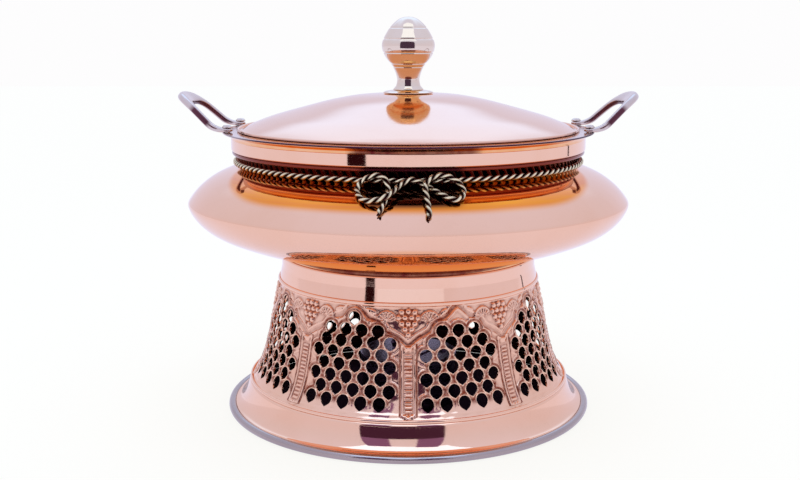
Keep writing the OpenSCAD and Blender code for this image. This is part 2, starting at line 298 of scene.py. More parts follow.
def tube_shape(path, radius, sides, closed, up):
    """A round tube with one radius for each point of the path; open ends are capped."""
    count = len(path)
    side, rise_dir = path_frames(path, closed, up)
    angle = np.linspace(0, 2 * PI, sides, endpoint=False)
    ring = (np.cos(angle)[None, :, None] * side[:, None, :]
            + np.sin(angle)[None, :, None] * rise_dir[:, None, :])
    verts = (path[:, None, :] + radius[:, None, None] * ring).reshape(-1, 3)
    faces = []
    for i in range(count if closed else count - 1):
        a, b = i * sides, (i + 1) % count * sides
        for k in range(sides):
            k2 = (k + 1) % sides
            faces.append((b + k, b + k2, a + k2, a + k))
    if not closed:
        verts = np.vstack([verts, path[0], path[-1]])
        first, end = count * sides, (count - 1) * sides
        for k in range(sides):
            k2 = (k + 1) % sides
            faces.append((k, k2, first))
            faces.append((end + k2, end + k, first + 1))
    return verts, faces


# ----------------------------------------------------------------------------------------------
# Shader building
# ----------------------------------------------------------------------------------------------


class Shader:
    """The node tree of a material or a world."""

    def __init__(self, owner):
        owner.use_nodes = True
        self.owner = owner
        self.tree = owner.node_tree
        self.tree.nodes.clear()

    def feed(self, socket, value):
        """Links a socket to another, or gives it a value; colours are (r, g, b)."""
        if isinstance(value, bpy.types.NodeSocket):
            self.tree.links.new(value, socket)
        elif socket.type == "RGBA":
            socket.default_value = (*value, 1)
        else:
            socket.default_value = value

    def node(self, kind, inputs=None, **settings):
        """Adds a node; inputs maps socket names or numbers to what feeds them."""
        node = self.tree.nodes.new("ShaderNode" + kind)
        for key, value in settings.items():
            setattr(node, key, value)
        for key, value in (inputs or {}).items():
            self.feed(node.inputs[key], value)
        return node

    def math(self, operation, *values, clamp=False):
        inputs = dict(enumerate(values))
        return self.node("Math", inputs, operation=operation, use_clamp=clamp).outputs[0]

    def mix(self, factor, a, b, blend="MIX"):
        inputs = {0: factor, 6: a, 7: b}
        return self.node("Mix", inputs, data_type="RGBA", blend_type=blend).outputs[2]

    def remap(self, value, span, to, interpolation="LINEAR"):
        inputs = {"Value": value, "From Min": span[0], "From Max": span[1],
                  "To Min": to[0], "To Max": to[1]}
        return self.node("MapRange", inputs, interpolation_type=interpolation).outputs["Result"]

    def ramp(self, factor, stops):
        """A colour ramp; stops are rows of (position, colour)."""
        node = self.node("ValToRGB", {0: factor})
        elements = node.color_ramp.elements
        while len(elements) < len(stops):
            elements.new(0.5)
        for element, (position, colour) in zip(elements, stops):
            element.position = position
            element.color = (*colour, 1)
        return node.outputs["Color"]


class Surface(Shader):
    """A Principled material whose textures lie in object space."""

    def __init__(self, name):
        super().__init__(bpy.data.materials.new(name))
        output = self.node("OutputMaterial")
        self.bsdf = self.node("BsdfPrincipled")
        self.feed(output.inputs[0], self.bsdf.outputs[0])
        self.place = self.node("TexCoord").outputs["Object"]

    def finish(self, colour, roughness, normal, metallic=1.0):
        self.feed(self.bsdf.inputs["Base Color"], colour)
        self.feed(self.bsdf.inputs["Metallic"], metallic)
        self.feed(self.bsdf.inputs["Roughness"], roughness)
        self.feed(self.bsdf.inputs["Normal"], normal)
        return self.owner

    def noise(self, *, scale, detail, rough, distortion=0.0, vector=None):
        inputs = {"Scale": scale, "Detail": detail, "Roughness": rough,
                  "Distortion": distortion, "Vector": vector or self.place}
        return self.node("TexNoise", inputs).outputs["Fac"]

    def attribute(self, name):
        return self.node("Attribute", attribute_name=name).outputs["Fac"]

    def bump(self, height, *, strength, distance, normal=None):
        inputs = {"Strength": strength, "Distance": distance, "Height": height}
        if normal is not None:
            inputs["Normal"] = normal
        return self.node("Bump", inputs).outputs[0]

    def turned_vector(self, *, along=900.0, around=1.2):
        """Coordinates stretched round the axis, for fine rings."""
        x, y, z = self.node("SeparateXYZ", {0: self.place}).outputs
        squares = self.math("ADD", self.math("MULTIPLY", x, x), self.math("MULTIPLY", y, y))
        radius = self.math("SQRT", squares)
        angle = self.math("ARCTAN2", y, x)
        return self.node("CombineXYZ", {0: self.math("MULTIPLY", radius, along),
                                        1: self.math("MULTIPLY", z, along),
                                        2: self.math("MULTIPLY", angle, around)}).outputs[0]

    def rings(self):
        """The fine rings a lathe and a buffing wheel leave."""
        return self.noise(scale=1.0, detail=3.0, rough=0.7, vector=self.turned_vector())

    def grain(self):
        """Fine marks with no direction."""
        return self.noise(scale=420.0, detail=2.0, rough=0.6)

    def tarnish(self, clouds, flecks):
        """Mask of tarnish in broad clouds and small flecks, with the strength of each."""
        cloud = self.noise(scale=14.0, detail=4.0, rough=0.6, distortion=0.4)
        fleck = self.noise(scale=160.0, detail=3.0, rough=0.6)
        return self.math("ADD", self.remap(cloud, span=(0.42, 0.72), to=(0.0, clouds)),
                         self.remap(fleck, span=(0.62, 0.78), to=(0.0, flecks)), clamp=True)

    def deepen(self, colour, mirrored):
        """Swaps to a redder colour, a painted reflection, where another polished piece reflects this
        one.
        """
        return self.mix(self.node("LightPath").outputs["Is Glossy Ray"], colour, mirrored)

    def line(self, value, *, centre, half):
        """1 on a thin line where value is centre, fading to 0 at half either side."""
        distance = self.math("ABSOLUTE", self.math("SUBTRACT", value, centre))
        t = self.math("SUBTRACT", 1.0, self.math("DIVIDE", distance, half), clamp=True)
        return self.math("MULTIPLY", t, self.math("SUBTRACT", 2.0, t))


# ----------------------------------------------------------------------------------------------
# Materials
# ----------------------------------------------------------------------------------------------
COPPER = (0.930, 0.575, 0.400)
COPPER_TARN = (0.820, 0.420, 0.230)
# painted reflection: the redder colour copper shows only where another polished piece mirrors it
COPPER_MIRRORED = (0.900, 0.330, 0.080)


def metal(name, base, tarnish, *, rough, vary, wave, turned=True, tarnished=0.25,
          scratch=0.03, painted_dark_colour=None, mirrored=None):
    """Polished metal: tarnish, buffing marks, gentle waves, and a dark colour by "crev" that paints
    shade and dark reflections.

    Roughness runs from just below rough to rough + vary; wave and scratch are bump strengths.
    """
    k = Surface(name)
    mask = k.tarnish(clouds=tarnished, flecks=tarnished * 0.5)
    colour = k.mix(mask, base, tarnish)
    # painted reflection: another colour for rays that other polished pieces mirror
    if mirrored:
        colour = k.deepen(colour, mirrored)
    # painted shade and dark reflections: the given dark colour mixed in by the painted mask
    if painted_dark_colour:
        depth = k.remap(k.attribute("painted_dark"), span=(0.05, 0.85), to=(0.0, 1.0))
        colour = k.mix(depth, colour, painted_dark_colour)
    marks = k.rings() if turned else k.grain()
    roughness = k.math("ADD", k.remap(marks, span=(0.3, 0.75), to=(rough * 0.7, rough + vary)),
                       k.math("MULTIPLY", mask, 0.12))
    if painted_dark_colour:
        roughness = k.math("ADD", roughness, k.math("MULTIPLY", k.attribute("painted_dark"), 0.22))
    swell = k.bump(k.noise(scale=9.0, detail=2.0, rough=0.5), strength=wave, distance=0.004)
    return k.finish(colour, roughness,
                    k.bump(marks, strength=scratch, distance=0.0004, normal=swell))


def stand_metal():
    """Embossed copper: painted shade darkens the chased lines and hollows; painted highlights brighten
    the raised edges over the holes.
    """
    k = Surface("copper_embossed")
    mask = k.tarnish(clouds=0.35, flecks=0.15)
    # painted reflection: a redder copper for rays that other polished pieces mirror
    colour = k.deepen(k.mix(mask, COPPER, COPPER_TARN), COPPER_MIRRORED)
    hole, top, arch, column = [k.attribute(key) for key in ("hole", "top", "arch", "column")]
    # painted shade along the chased lines: round the holes' tops, the arches, the columns' sides and
    # every hollow
    chase_shade = k.math("MULTIPLY", k.line(hole, centre=1.80, half=1.25), top)
    arch_line = k.math("MULTIPLY", k.line(arch, centre=0.0, half=1.9), k.attribute("front_shade"))
    chase_shade = k.math("MAXIMUM", chase_shade, arch_line)
    column_line = k.math("MULTIPLY", k.line(column, centre=6.7, half=1.0), 0.95)
    chase_shade = k.math("MAXIMUM", chase_shade, column_line)
    chase_shade = k.math("MAXIMUM", chase_shade, k.attribute("painted_dark"))
    wobble = k.remap(k.noise(scale=260.0, detail=2.0, rough=0.6), span=(0.3, 0.7), to=(0.65, 1.15))
    chase_shade = k.math("MULTIPLY", chase_shade, wobble, clamp=True)
    # painted shade: the chased lines darkened to deep brown
    colour = k.mix(chase_shade, colour, (0.240, 0.040, 0.016))
    # painted highlight: a bright rim just outside each hole's round top
    rim_highlight = k.math("MULTIPLY", k.line(hole, centre=0.35, half=0.55), top)
    colour = k.mix(k.math("MULTIPLY", rim_highlight, 0.85), colour, (1.0, 0.66, 0.44))
    roughness = k.math("ADD", k.remap(k.grain(), span=(0.3, 0.75), to=(0.06, 0.14)),
                       k.math("MULTIPLY", chase_shade, 0.25))
    height = k.math("SUBTRACT", k.math("MULTIPLY", rim_highlight, 0.6), chase_shade)
    swell = k.bump(k.noise(scale=30.0, detail=2.0, rough=0.5), strength=0.12, distance=0.003)
    return k.finish(colour, roughness,
                    k.bump(height, strength=0.8, distance=0.0006, normal=swell))


def bowl_metal():
    """Polished copper with a painted golden reflection on the shoulder, painted shade in the recess
    above it and a painted dark reflection in a patch at the front.
    """
    k = Surface("copper_bowl")
    cloud = k.noise(scale=11.0, detail=4.0, rough=0.6, distortion=0.4)
    mask = k.remap(cloud, span=(0.42, 0.72), to=(0.0, 0.22))
    colour = k.mix(mask, COPPER, COPPER_TARN)
    streak = k.noise(scale=1.0, detail=3.0, rough=0.6,
                     vector=k.turned_vector(along=160.0, around=2.0))
    # painted reflection: a golden band on the shoulder and faintly under the bowl
    gold_reflection = k.math("MULTIPLY", k.attribute("gold_reflection"),
                  k.remap(streak, span=(0.25, 0.7), to=(1.0, 0.86)), clamp=True)
    reflected_gold = k.ramp(streak, [(0.30, (0.960, 0.330, 0.004)), (0.62, (0.860, 0.215, 0.002))])
    colour = k.mix(gold_reflection, colour, reflected_gold)
    # painted shade: the neck, and a ring just inside the stand's top
    recess_shade = k.math("MULTIPLY", k.attribute("recess_shade"),
                    k.remap(streak, span=(0.2, 0.6), to=(1.0, 0.95)), clamp=True)
    colour = k.mix(recess_shade, colour, (0.210, 0.034, 0.026))
    # painted dark reflection: a nearly black patch on the shoulder at the front
    colour = k.mix(k.attribute("front"), colour, (0.034, 0.003, 0.006))
    rings = k.rings()
    roughness = k.math("ADD", k.remap(rings, span=(0.3, 0.75), to=(0.02, 0.06)),
                       k.math("MULTIPLY", mask, 0.10))
    roughness = k.math("ADD", roughness, k.math("MULTIPLY", recess_shade, 0.05))
    swell = k.bump(k.noise(scale=8.0, detail=2.0, rough=0.5), strength=0.06, distance=0.004)
    return k.finish(colour, roughness,
                    k.bump(rings, strength=0.03, distance=0.0004, normal=swell))


def fibre_material():
    k = Surface("fuel_pad_fibre")
    fibres = k.noise(scale=900.0, detail=5.0, rough=0.7)
    stains = k.noise(scale=60.0, detail=4.0, rough=0.6)
    colour = k.mix(k.remap(fibres, span=(0.35, 0.7), to=(0, 1)),
                   (0.80, 0.77, 0.70), (0.93, 0.92, 0.88))
    colour = k.mix(k.remap(stains, span=(0.5, 0.8), to=(0, 0.6)), colour, (0.35, 0.30, 0.25))
    return k.finish(colour, roughness=0.95, metallic=0.0,
                    normal=k.bump(fibres, strength=0.7, distance=0.0008))


def cove_metal():
    """Orange copper for narrow coves, its orange a painted reflection of the copper round them, with a
    painted dark reflection where "front" is set.
    """
    k = Surface("copper_cove")
    cloud = k.noise(scale=40.0, detail=3.0, rough=0.6, distortion=0.4)
    colour = k.mix(k.remap(cloud, span=(0.4, 0.7), to=(0.0, 0.8)),
                   (0.930, 0.500, 0.250), (0.880, 0.380, 0.120))
    patches = k.noise(scale=90.0, detail=3.0, rough=0.6)
    # painted dark reflection, broken into patches
    dark = k.math("MULTIPLY", k.attribute("front"),
                  k.remap(patches, span=(0.3, 0.6), to=(1.0, 0.8)), clamp=True)
    colour = k.mix(dark, colour, (0.140, 0.016, 0.016))
    rings = k.rings()
    roughness = k.math("ADD", k.remap(rings, span=(0.3, 0.75), to=(0.04, 0.09)),
                       k.math("MULTIPLY", dark, 0.15))
    return k.finish(colour, roughness, k.bump(rings, strength=0.03, distance=0.0004))


copper_bowl = bowl_metal()
copper_sheet = metal("copper_polished", COPPER, COPPER_TARN, rough=0.035, vary=0.03, wave=0.06)
# the mirrored colours here and for the knob are painted reflections, seen only by rays that other
# polished pieces mirror
copper_lid = metal("copper_lid", (0.905, 0.575, 0.420), (0.830, 0.480, 0.320),
                   rough=0.05, vary=0.05, wave=0.05, mirrored=(0.930, 0.400, 0.160))
copper_band = metal("copper_band", (0.950, 0.590, 0.415), (0.850, 0.440, 0.250),
                    rough=0.035, vary=0.03, wave=0.06, mirrored=COPPER_MIRRORED)
copper_stand = stand_metal()
copper_inside = metal("copper_inside_dark", (0.110, 0.035, 0.030), (0.050, 0.018, 0.020),
                      rough=0.30, vary=0.15, turned=False, wave=0.2, tarnished=0.8)
# its dark colour paints a dark reflection on the flange's edge
steel_pan = metal("steel_polished", (0.640, 0.500, 0.470), (0.520, 0.400, 0.380),
                  rough=0.09, vary=0.08, wave=0.04, painted_dark_colour=(0.070, 0.014, 0.036))
steel_wire = metal("steel_rim_wire", (0.440, 0.360, 0.340), (0.330, 0.260, 0.250),
                   rough=0.13, vary=0.10, wave=0.04, tarnished=0.5)
steel_cast = metal("steel_cast_polished", (0.700, 0.590, 0.520), (0.500, 0.400, 0.350),
                   rough=0.08, vary=0.07, turned=False, wave=0.15, tarnished=0.3)
# its dark colour paints dark reflections on the handles' edges
steel_handle = metal("steel_handle_cast", (0.690, 0.570, 0.520), (0.500, 0.410, 0.370),
                     rough=0.08, vary=0.07, turned=False, wave=0.12, tarnished=0.3,
                     painted_dark_colour=(0.130, 0.045, 0.060))
steel_brushed = metal("steel_brushed", (0.600, 0.600, 0.620), (0.420, 0.400, 0.400),
                      rough=0.24, vary=0.16, wave=0.03, scratch=0.3, tarnished=0.4)
nickel = metal("nickel_knob", (0.840, 0.690, 0.560), (0.700, 0.540, 0.400), rough=0.045,
               vary=0.04, wave=0.03, tarnished=0.2, mirrored=(0.840, 0.440, 0.160))
# its dark colour paints shade between and under the strands
brass_cord = metal("brass_twisted", (0.920, 0.800, 0.520), (0.420, 0.300, 0.140),
                   rough=0.14, vary=0.12, turned=False, wave=0.15, tarnished=0.3,
                   painted_dark_colour=(0.040, 0.007, 0.007))
fibre = fibre_material()
# painted shade: a dark purple for the burner, which is seen in shade through the holes
steel_burner = metal("steel_burner", (0.170, 0.110, 0.180), (0.110, 0.070, 0.110),
                     rough=0.24, vary=0.16, wave=0.03, scratch=0.3, tarnished=0.4)
copper_cove = cove_metal()

# ----------------------------------------------------------------------------------------------
# Stand, pierced wall: the layout of its pattern
# ----------------------------------------------------------------------------------------------
WALL_BOTTOM, WALL_TOP = 27.0, 115.0

# Columns part nine panels. The last, just left of the front (-X side), is a little wider.
PANELS = 9
WIDE_EXTRA = 3.7                            # degrees
SHARE = (360 - WIDE_EXTRA) / PANELS         # degrees in an ordinary panel
PATTERN_R = 118.5                           # wall radius at which arches and fans are drawn

# A hole has a round top and a point below; its origin is the round part's centre.
HOLE_R, HOLE_TIP, HOLE_HEIGHT = 5.1, 6.1, 11.0
HOLE_SHIFT = HOLE_HEIGHT / 2 - HOLE_R       # from the hole's middle up to its origin
HOLE_STRETCH = 1.03                         # heights are scaled by this before measuring
HOLE_STEP = 6.6                             # degrees between neighbours
ROW_Z, ROW_STEP = 38.0, 9.25                # the lowest row's middle, and the row pitch
ROW_HOLES = (5, 4, 5, 4, 5, 4, 3, 1)        # holes a row, from the bottom
ROW_HOLES_WIDE = (5, 5, 5, 5, 5, 5, 4, 1)
WIDE_STAGGER = 1.6                          # degrees that the wide panel's full rows shift

# Half an arch, from the column outwards: distance across, height
ARCH = curve([(0.4, 84.2), (5.7, 88.6), (10.5, 91.5), (16.0, 94.6), (19.0, 98.8), (22.5, 102.2),
              (29.0, 104.2), (32.5, 107.0), (35.6, 110.0), (39.9, 113.2)], 4)
# Petals at a column's foot: distance across, height, radius
PETALS = [(0, 29.3, 2.0), (-3.0, 30.6, 1.5), (3.0, 30.6, 1.5)]
# Berries above a column: distance across, height
BERRIES = [(-5.2, 109.4), (0, 109.8), (5.2, 109.4), (-7.7, 104.9), (-2.6, 105.1), (2.6, 105.1),
           (7.7, 104.9), (-5.1, 100.5), (0, 100.5), (5.1, 100.5), (-2.6, 96.1), (2.6, 96.1),
           (0, 91.9)]
BERRY_R = 2.45
FAN_X, FAN_Z, FAN_R = 17.5, 101.8, 8.6
LEAF_X, LEAF_Z, LEAF_R = 30.5, 109.2, 4.4
NO_LINE = 12.0                              # distance stored where a chased line is far off


def wall_r(z):
    """Outer radius of the stand's wall, which widens towards the foot."""
    drop = np.maximum(0, 127 - np.asarray(z, float)) / 100
    return STAND_NECK + 20.3 * drop + 8.5 * drop ** 8


def wall_point(theta, z, lift):
    """The point raised by lift, square to the wall, at an azimuth and height."""
    slope = (wall_r(z + 0.05) - wall_r(z - 0.05)) / 0.1
    normal = 1 / np.sqrt(1 + slope * slope)
    radius = wall_r(z) + lift * normal
    angle = np.radians(theta)
    return np.stack([radius * np.sin(angle), -radius * np.cos(angle),
                     z - lift * slope * normal], -1)


def wrap(angle):
    return (angle + 180) % 360 - 180


def hole_places():
    """(azimuth, height) of every hole's origin."""
    places = []
    for panel in range(PANELS):
        wide = panel == PANELS - 1
        middle = -(SHARE + WIDE_EXTRA) / 2 if wide else panel * SHARE + SHARE / 2
        for row, count in enumerate(ROW_HOLES_WIDE if wide else ROW_HOLES):
            if panel == 0 and row == 7:
                continue                    # this panel has no single hole at its top
            shift = 0
            if wide and row < 6:
                shift = -WIDE_STAGGER if row % 2 == 0 else WIDE_STAGGER
            for k in range(count):
                places.append((middle + shift + (k - (count - 1) / 2) * HOLE_STEP,
                               ROW_Z + row * ROW_STEP + HOLE_SHIFT))
    return places


HOLES = hole_places()


def hole_distance(x, y):
    """Distance to a hole's edge, negative inside."""
    x = np.abs(x)
    sin = HOLE_R / HOLE_TIP
    cos = math.sqrt(1 - sin * sin)
    side = x * cos - (y + HOLE_TIP) * sin
    along = x * sin + (y + HOLE_TIP) * cos
    circle = np.hypot(x, y) - HOLE_R
    distance = np.where(along > HOLE_TIP * cos, circle, side)
    return np.where(along < 0, np.hypot(x, y + HOLE_TIP), distance)


def line_distance(x, y, points):
    best = np.full(np.shape(x), 1e9)
    for (ax, ay), (bx, by) in zip(points[:-1], points[1:]):
        dx, dy = bx - ax, by - ay
        t = np.clip(((x - ax) * dx + (y - ay) * dy) / (dx * dx + dy * dy), 0, 1)
        best = np.minimum(best, np.hypot(x - ax - t * dx, y - ay - t * dy))
    return best


def hole_fields(theta, z, radius):
    """Distances to the nearest edge and origin, crescent height, and where hole tops are."""
    edge = np.full(z.shape, 50.0)
    origin = np.full(z.shape, 50.0)
    crescent = np.zeros_like(z)
    top = np.zeros_like(z)
    for hole_theta, hole_z in HOLES:
        turn = wrap(theta - hole_theta)
        near = (np.abs(turn) < 8) & (np.abs(z - hole_z) < 14)
        if not near.any():
            continue
        x = np.radians(turn[near]) * radius[near]
        y = (z[near] - hole_z) * HOLE_STRETCH
        edge[near] = np.minimum(edge[near], hole_distance(x, y))
        distance = np.hypot(x, y)
        out = distance - HOLE_R
        origin[near] = np.minimum(origin[near], distance)
        # the crescents fade out below the round top, and 4.5 mm from the edge
        angle = np.degrees(np.arctan2(y, x))
        fade = rise(angle, -25, 30) * fall(angle, 205, 30)
        fade = np.where(angle < -90, fall(angle, 205 - 360, 30), fade) * fall(out, 4.5, 1.0)
        top[near] = np.maximum(top[near], fade)
        bands = 0.55 * ridge(out - 0.4, 0.8) + 0.85 * ridge(out - 2.6, 1.1)
        crescent[near] = np.maximum(crescent[near], bands * fade)
    return edge, origin, crescent, top


def column_relief(across, z):
    """Height and painted shade of a column: raised sides, a ladder strip, petals and a capital."""
    x = np.abs(across)
    height = 0.75 * ridge(x - 5.2, 1.0) * fall(z, 86.0, 3.0) * rise(z, 30.0, 1.0)
    ladder = fall(z, 77.5, 1.0) * rise(z, 31.5, 0.8)
    strip = fall(x, 3.3, 0.7) * ladder
    rung = 0.5 + 0.5 * np.cos(2 * PI * (z - 31.0) / 2.95)
    height += strip * (-0.35 + 1.0 * rung ** 1.3)
    dark = 0.95 * strip * np.clip(1.15 - rung * 1.6, 0, 1)
    dark = np.maximum(dark, 0.8 * ridge(x - 3.5, 0.8) * ladder)
    for petal_x, petal_z, petal_r in PETALS:
        petal = dome(np.hypot(across - petal_x, z - petal_z), petal_r)
        height = np.maximum(height, 0.8 * petal)
    capital = dome(np.hypot(across / 1.25, z - 81.0), 2.6)
    return np.maximum(height, 0.9 * capital), dark


def spandrel_relief(height, dark, across, drawn, z):
    """Adds the berries, the two ribbed fans and the two leaves above a column, with painted shade
    round the berries, round the fans and between their ribs.

    across is the true distance from the column, drawn the one scaled to PATTERN_R.
    """
    for berry_x, berry_z in BERRIES:
        distance = np.hypot(across - berry_x, z - berry_z)
        height = np.maximum(height, -0.3 + 1.75 * dome(distance, BERRY_R))
        dark = np.maximum(dark, 0.75 * ridge(distance - 2.55, 0.55))
    for side in (-1, 1):
        x, y = side * drawn - FAN_X, z - FAN_Z
        distance = np.hypot(x, y)
        angle = np.degrees(np.arctan2(y, x))
        sector = rise(angle, -12, 6) * fall(angle, 168, 6)
        inside = fall(distance, FAN_R, 0.5) * sector
        ribs = 0.5 + 0.5 * np.cos(np.radians(angle) * 15)
        hub = np.clip(distance / 2.5, 0, 1)
        fan = inside * (0.15 + 0.75 * ribs * hub * fall(distance, 7.4, 0.8)
                        + 0.75 * ridge(distance - 7.9, 0.8))
        height = np.where(inside > 0.02, np.maximum(height, fan), height)
        gaps = 0.8 * inside * np.clip(0.62 - ribs, 0, 1) * 1.6 * hub * fall(distance, 7.2, 0.8)
        dark = np.maximum(dark, gaps)
        dark = np.maximum(dark, 0.7 * ridge(distance - 8.9, 0.7) * sector)
        x, y = side * drawn - LEAF_X, z - LEAF_Z
        distance = np.hypot(x * 0.94 + y * 0.34, (y * 0.94 - x * 0.34) * 2.2)
        leaf = dome(distance, LEAF_R) * (0.65 + 0.25 * np.cos(x * 3.4))
        height = np.where(distance < LEAF_R, np.maximum(height, leaf), height)
    return height, dark


def relief(theta, z):
    """Embossed height, distance to the nearest hole's edge, and the fields the shader reads."""
    radius = wall_r(z)
    hole, origin, crescent, top = hole_fields(theta, z, radius)
    turns = wrap(theta[..., None] - np.arange(PANELS) * SHARE)
    nearest = np.abs(turns).argmin(-1)
    turn = np.take_along_axis(turns, nearest[..., None], -1)[..., 0]
    across = np.radians(turn) * radius
    from_column = np.abs(across)
    height, dark = column_relief(across, z)

    # arches stretch in the wide panel, so that they meet over its middle
    in_wide = ((nearest == 0) & (across < 0)) | ((nearest == PANELS - 1) & (across > 0))
    stretch = np.where(in_wide, (SHARE + WIDE_EXTRA) / SHARE, 1.0)
    arch_x = from_column / stretch * (PATTERN_R / radius)
    arch = np.full(z.shape, 50.0)
    upper = z > 78
    arch[upper] = line_distance(arch_x[upper], z[upper], ARCH)
    over_arch = z - np.interp(arch_x, ARCH[:, 0], ARCH[:, 1])

    # a scalloped border round each group of holes, under the arch, with painted shade just outside it
    border = rise(z, 62, 8) * (1 - rise(over_arch, -2.4, 0.8)) * (from_column > 6.3)
    height += 0.60 * ridge(origin - 8.6, 0.9) * border
    dark = np.maximum(dark, 0.6 * ridge(origin - 9.9, 0.8) * border)
    # the arch is a groove beside a ridge, and the ground above it is sunk
    height += 0.95 * ridge(arch - 2.9, 1.3)
    height -= 0.75 * ridge(arch, 1.75)
    height -= 0.45 * rise(over_arch, 0, 1.0) * fall(z, 112.6, 1.0)
    height, dark = spandrel_relief(height, dark, across, across * (PATTERN_R / radius), z)
    height = np.where(crescent > 0.02, np.maximum(height, 1.1 * crescent), height)
    # a low line under the panels
    height += 0.35 * ridge(z - 31.4, 0.7) * (from_column > 6.6)
    # hand work is never quite even
    angle = np.radians(theta)
    height += 0.06 * np.sin(angle * 23 + z * 0.31) + 0.05 * np.sin(angle * 61 - z * 0.53)
    column = np.where((z > 29.5) & (z < 85.5), from_column, 60.0)
    # the first two fields are painted shade: in the grooves and hollows, and a weight that makes the
    # arch's line darker towards the front
    return height, hole, {
        "painted_dark": dark, "front_shade": 0.45 + 0.55 * fall(np.abs(wrap(theta)), 24, 6),
        "hole": np.clip(hole, -1, NO_LINE), "top": top, "arch": np.clip(arch, 0, NO_LINE),
        "column": np.clip(column, 0, NO_LINE)}


# ----------------------------------------------------------------------------------------------
# Stand, pierced wall: its mesh
# ----------------------------------------------------------------------------------------------
SEAM = 4 * SHARE        # azimuth of the column at which the wall is unrolled
UNROLL = 2.2            # flat length of one degree when the inner face is triangulated


class PiercedWall:
    """An embossed outer face cut round the holes, a plain inner face, and the walls between."""

    def __init__(self):
        self.around, self.rows = ((1008, 108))
        angles = SEAM + np.arange(self.around) * 360 / self.around
        theta, z = np.meshgrid(angles, np.linspace(WALL_BOTTOM, WALL_TOP, self.rows + 1))
        lift, self.hole, fields = relief(theta, z)
        lift *= rise(z, WALL_BOTTOM, 1.2) * fall(z, WALL_TOP, 1.2)
        # painted shade where a point lies under its surroundings
        blur = lift.copy()
        for _ in range(10):
            blur = (blur + np.roll(blur, 1, 1) + np.roll(blur, -1, 1)
                    + np.vstack([blur[:1], blur[:-1]]) + np.vstack([blur[1:], blur[-1:]])) / 5
        sunk = (blur - lift) * 1.7 - 0.05
        fields["painted_dark"] = np.clip(np.maximum(fields["painted_dark"], sunk), 0, 1)
        self.keys = list(fields)
        self.verts = list(wall_point(theta, z, lift).reshape(-1, 3))
        self.places = list(np.stack([theta, z, lift], -1).reshape(-1, 3))
        self.values = list(np.stack([field.ravel() for field in fields.values()], -1))
        self.hole_flat = self.hole.ravel()
        self.cuts = {}
        self.faces = []
        self.rim = []       # edges round the holes, as pairs of outer vertices
        self.bottom = list(range(self.around))
        self.top = [self.rows * self.around + i for i in range(self.around)]

    def crossing(self, a, b):
        """The vertex where the grid edge between a and b meets a hole's edge."""
        a, b = min(a, b), max(a, b)
        if (a, b) not in self.cuts:
            hole_a, hole_b = self.hole_flat[a], self.hole_flat[b]
            t = min(max(float(hole_a / (hole_a - hole_b)), 0.02), 0.98)
            start, end = self.places[a], self.places[b].copy()
            gap = end[0] - start[0]
            if abs(gap) > 180:
                end[0] -= math.copysign(360, gap)
            place = start + (end - start) * t
            self.verts.append(wall_point(*place))
            self.places.append(place)
            self.values.append(self.values[a] * (1 - t) + self.values[b] * t)
            self.cuts[a, b] = len(self.verts) - 1
        return self.cuts[a, b]

    def cut_cell(self, corners):
        """Keeps the part of a grid cell that lies outside the holes."""
        gone = [self.hole_flat[v] < 0 for v in corners]
        kept, marks = [], []
        for k in range(4):
            k2 = (k + 1) % 4
            if not gone[k]:
                kept.append(corners[k])
            if gone[k] != gone[k2]:
                kept.append(self.crossing(corners[k], corners[k2]))
                marks.append((kept[-1], gone[k]))
        if len(marks) == 2:
            self.faces.append(tuple(kept))
            (first, leaving), (second, _) = marks
            self.rim.append((second, first) if leaving else (first, second))
            return
        # two opposite corners are in holes: keep the other two as triangles
        for k in range(4):
            if not gone[k]:
                before = self.crossing(corners[k - 1], corners[k])
                after = self.crossing(corners[k], corners[(k + 1) % 4])
                self.faces.append((corners[k], after, before))
                self.rim.append((after, before))

    def outer_face(self):
        inside = self.hole < 0
        shifted = np.roll(inside, -1, 1)
        count = inside[:-1].astype(int) + inside[1:] + shifted[:-1] + shifted[1:]

        def cell(rows, columns):
            a = rows * self.around + columns
            b = rows * self.around + (columns + 1) % self.around
            return zip(*(v.tolist() for v in (a, b, b + self.around, a + self.around)))

        self.faces.extend(cell(*np.nonzero(count == 0)))
        for corners in cell(*np.nonzero((count > 0) & (count < 4))):
            self.cut_cell(corners)

    def inner_face(self):
        """A coarse plain face that shares the outlines of the holes and ends.

        Returns the inner partner of each outline vertex.
        """
        points, index = [], {}

        def add(turn, z):
            points.append((turn * UNROLL, z))
            return len(points) - 1

        for v in self.bottom + self.top + sorted({v for edge in self.rim for v in edge}):
            index[v] = add((self.places[v][0] - SEAM) % 360, self.places[v][1])
        right_ends = [add(360.0, WALL_BOTTOM), add(360.0, WALL_TOP)]
        edges = []
        for row, right in zip((self.bottom, self.top), right_ends):
            chain = [index[v] for v in row] + [right]
            edges += zip(chain[:-1], chain[1:])
        edges += [(index[a], index[b]) for a, b in self.rim]
        # the seam's two sides, later merged into the left one
        seam = [(add(0.0, z), add(360.0, z))
                for z in np.linspace(WALL_BOTTOM, WALL_TOP, 20)[1:-1]]
        left = [index[self.bottom[0]]] + [pair[0] for pair in seam] + [index[self.top[0]]]
        right = [right_ends[0]] + [pair[1] for pair in seam] + [right_ends[1]]
        for chain in (left, right):
            edges += zip(chain[:-1], chain[1:])
        merged = dict(zip(right, left))
        turn, z = np.meshgrid(np.arange(2.0, 359, 2.4),
                              np.arange(WALL_BOTTOM + 3.5, WALL_TOP - 2, 4.6))
        clear = relief(turn + SEAM, z)[1] > 1.0
        for grid_turn, grid_z in zip(turn[clear], z[clear]):
            add(grid_turn, grid_z)

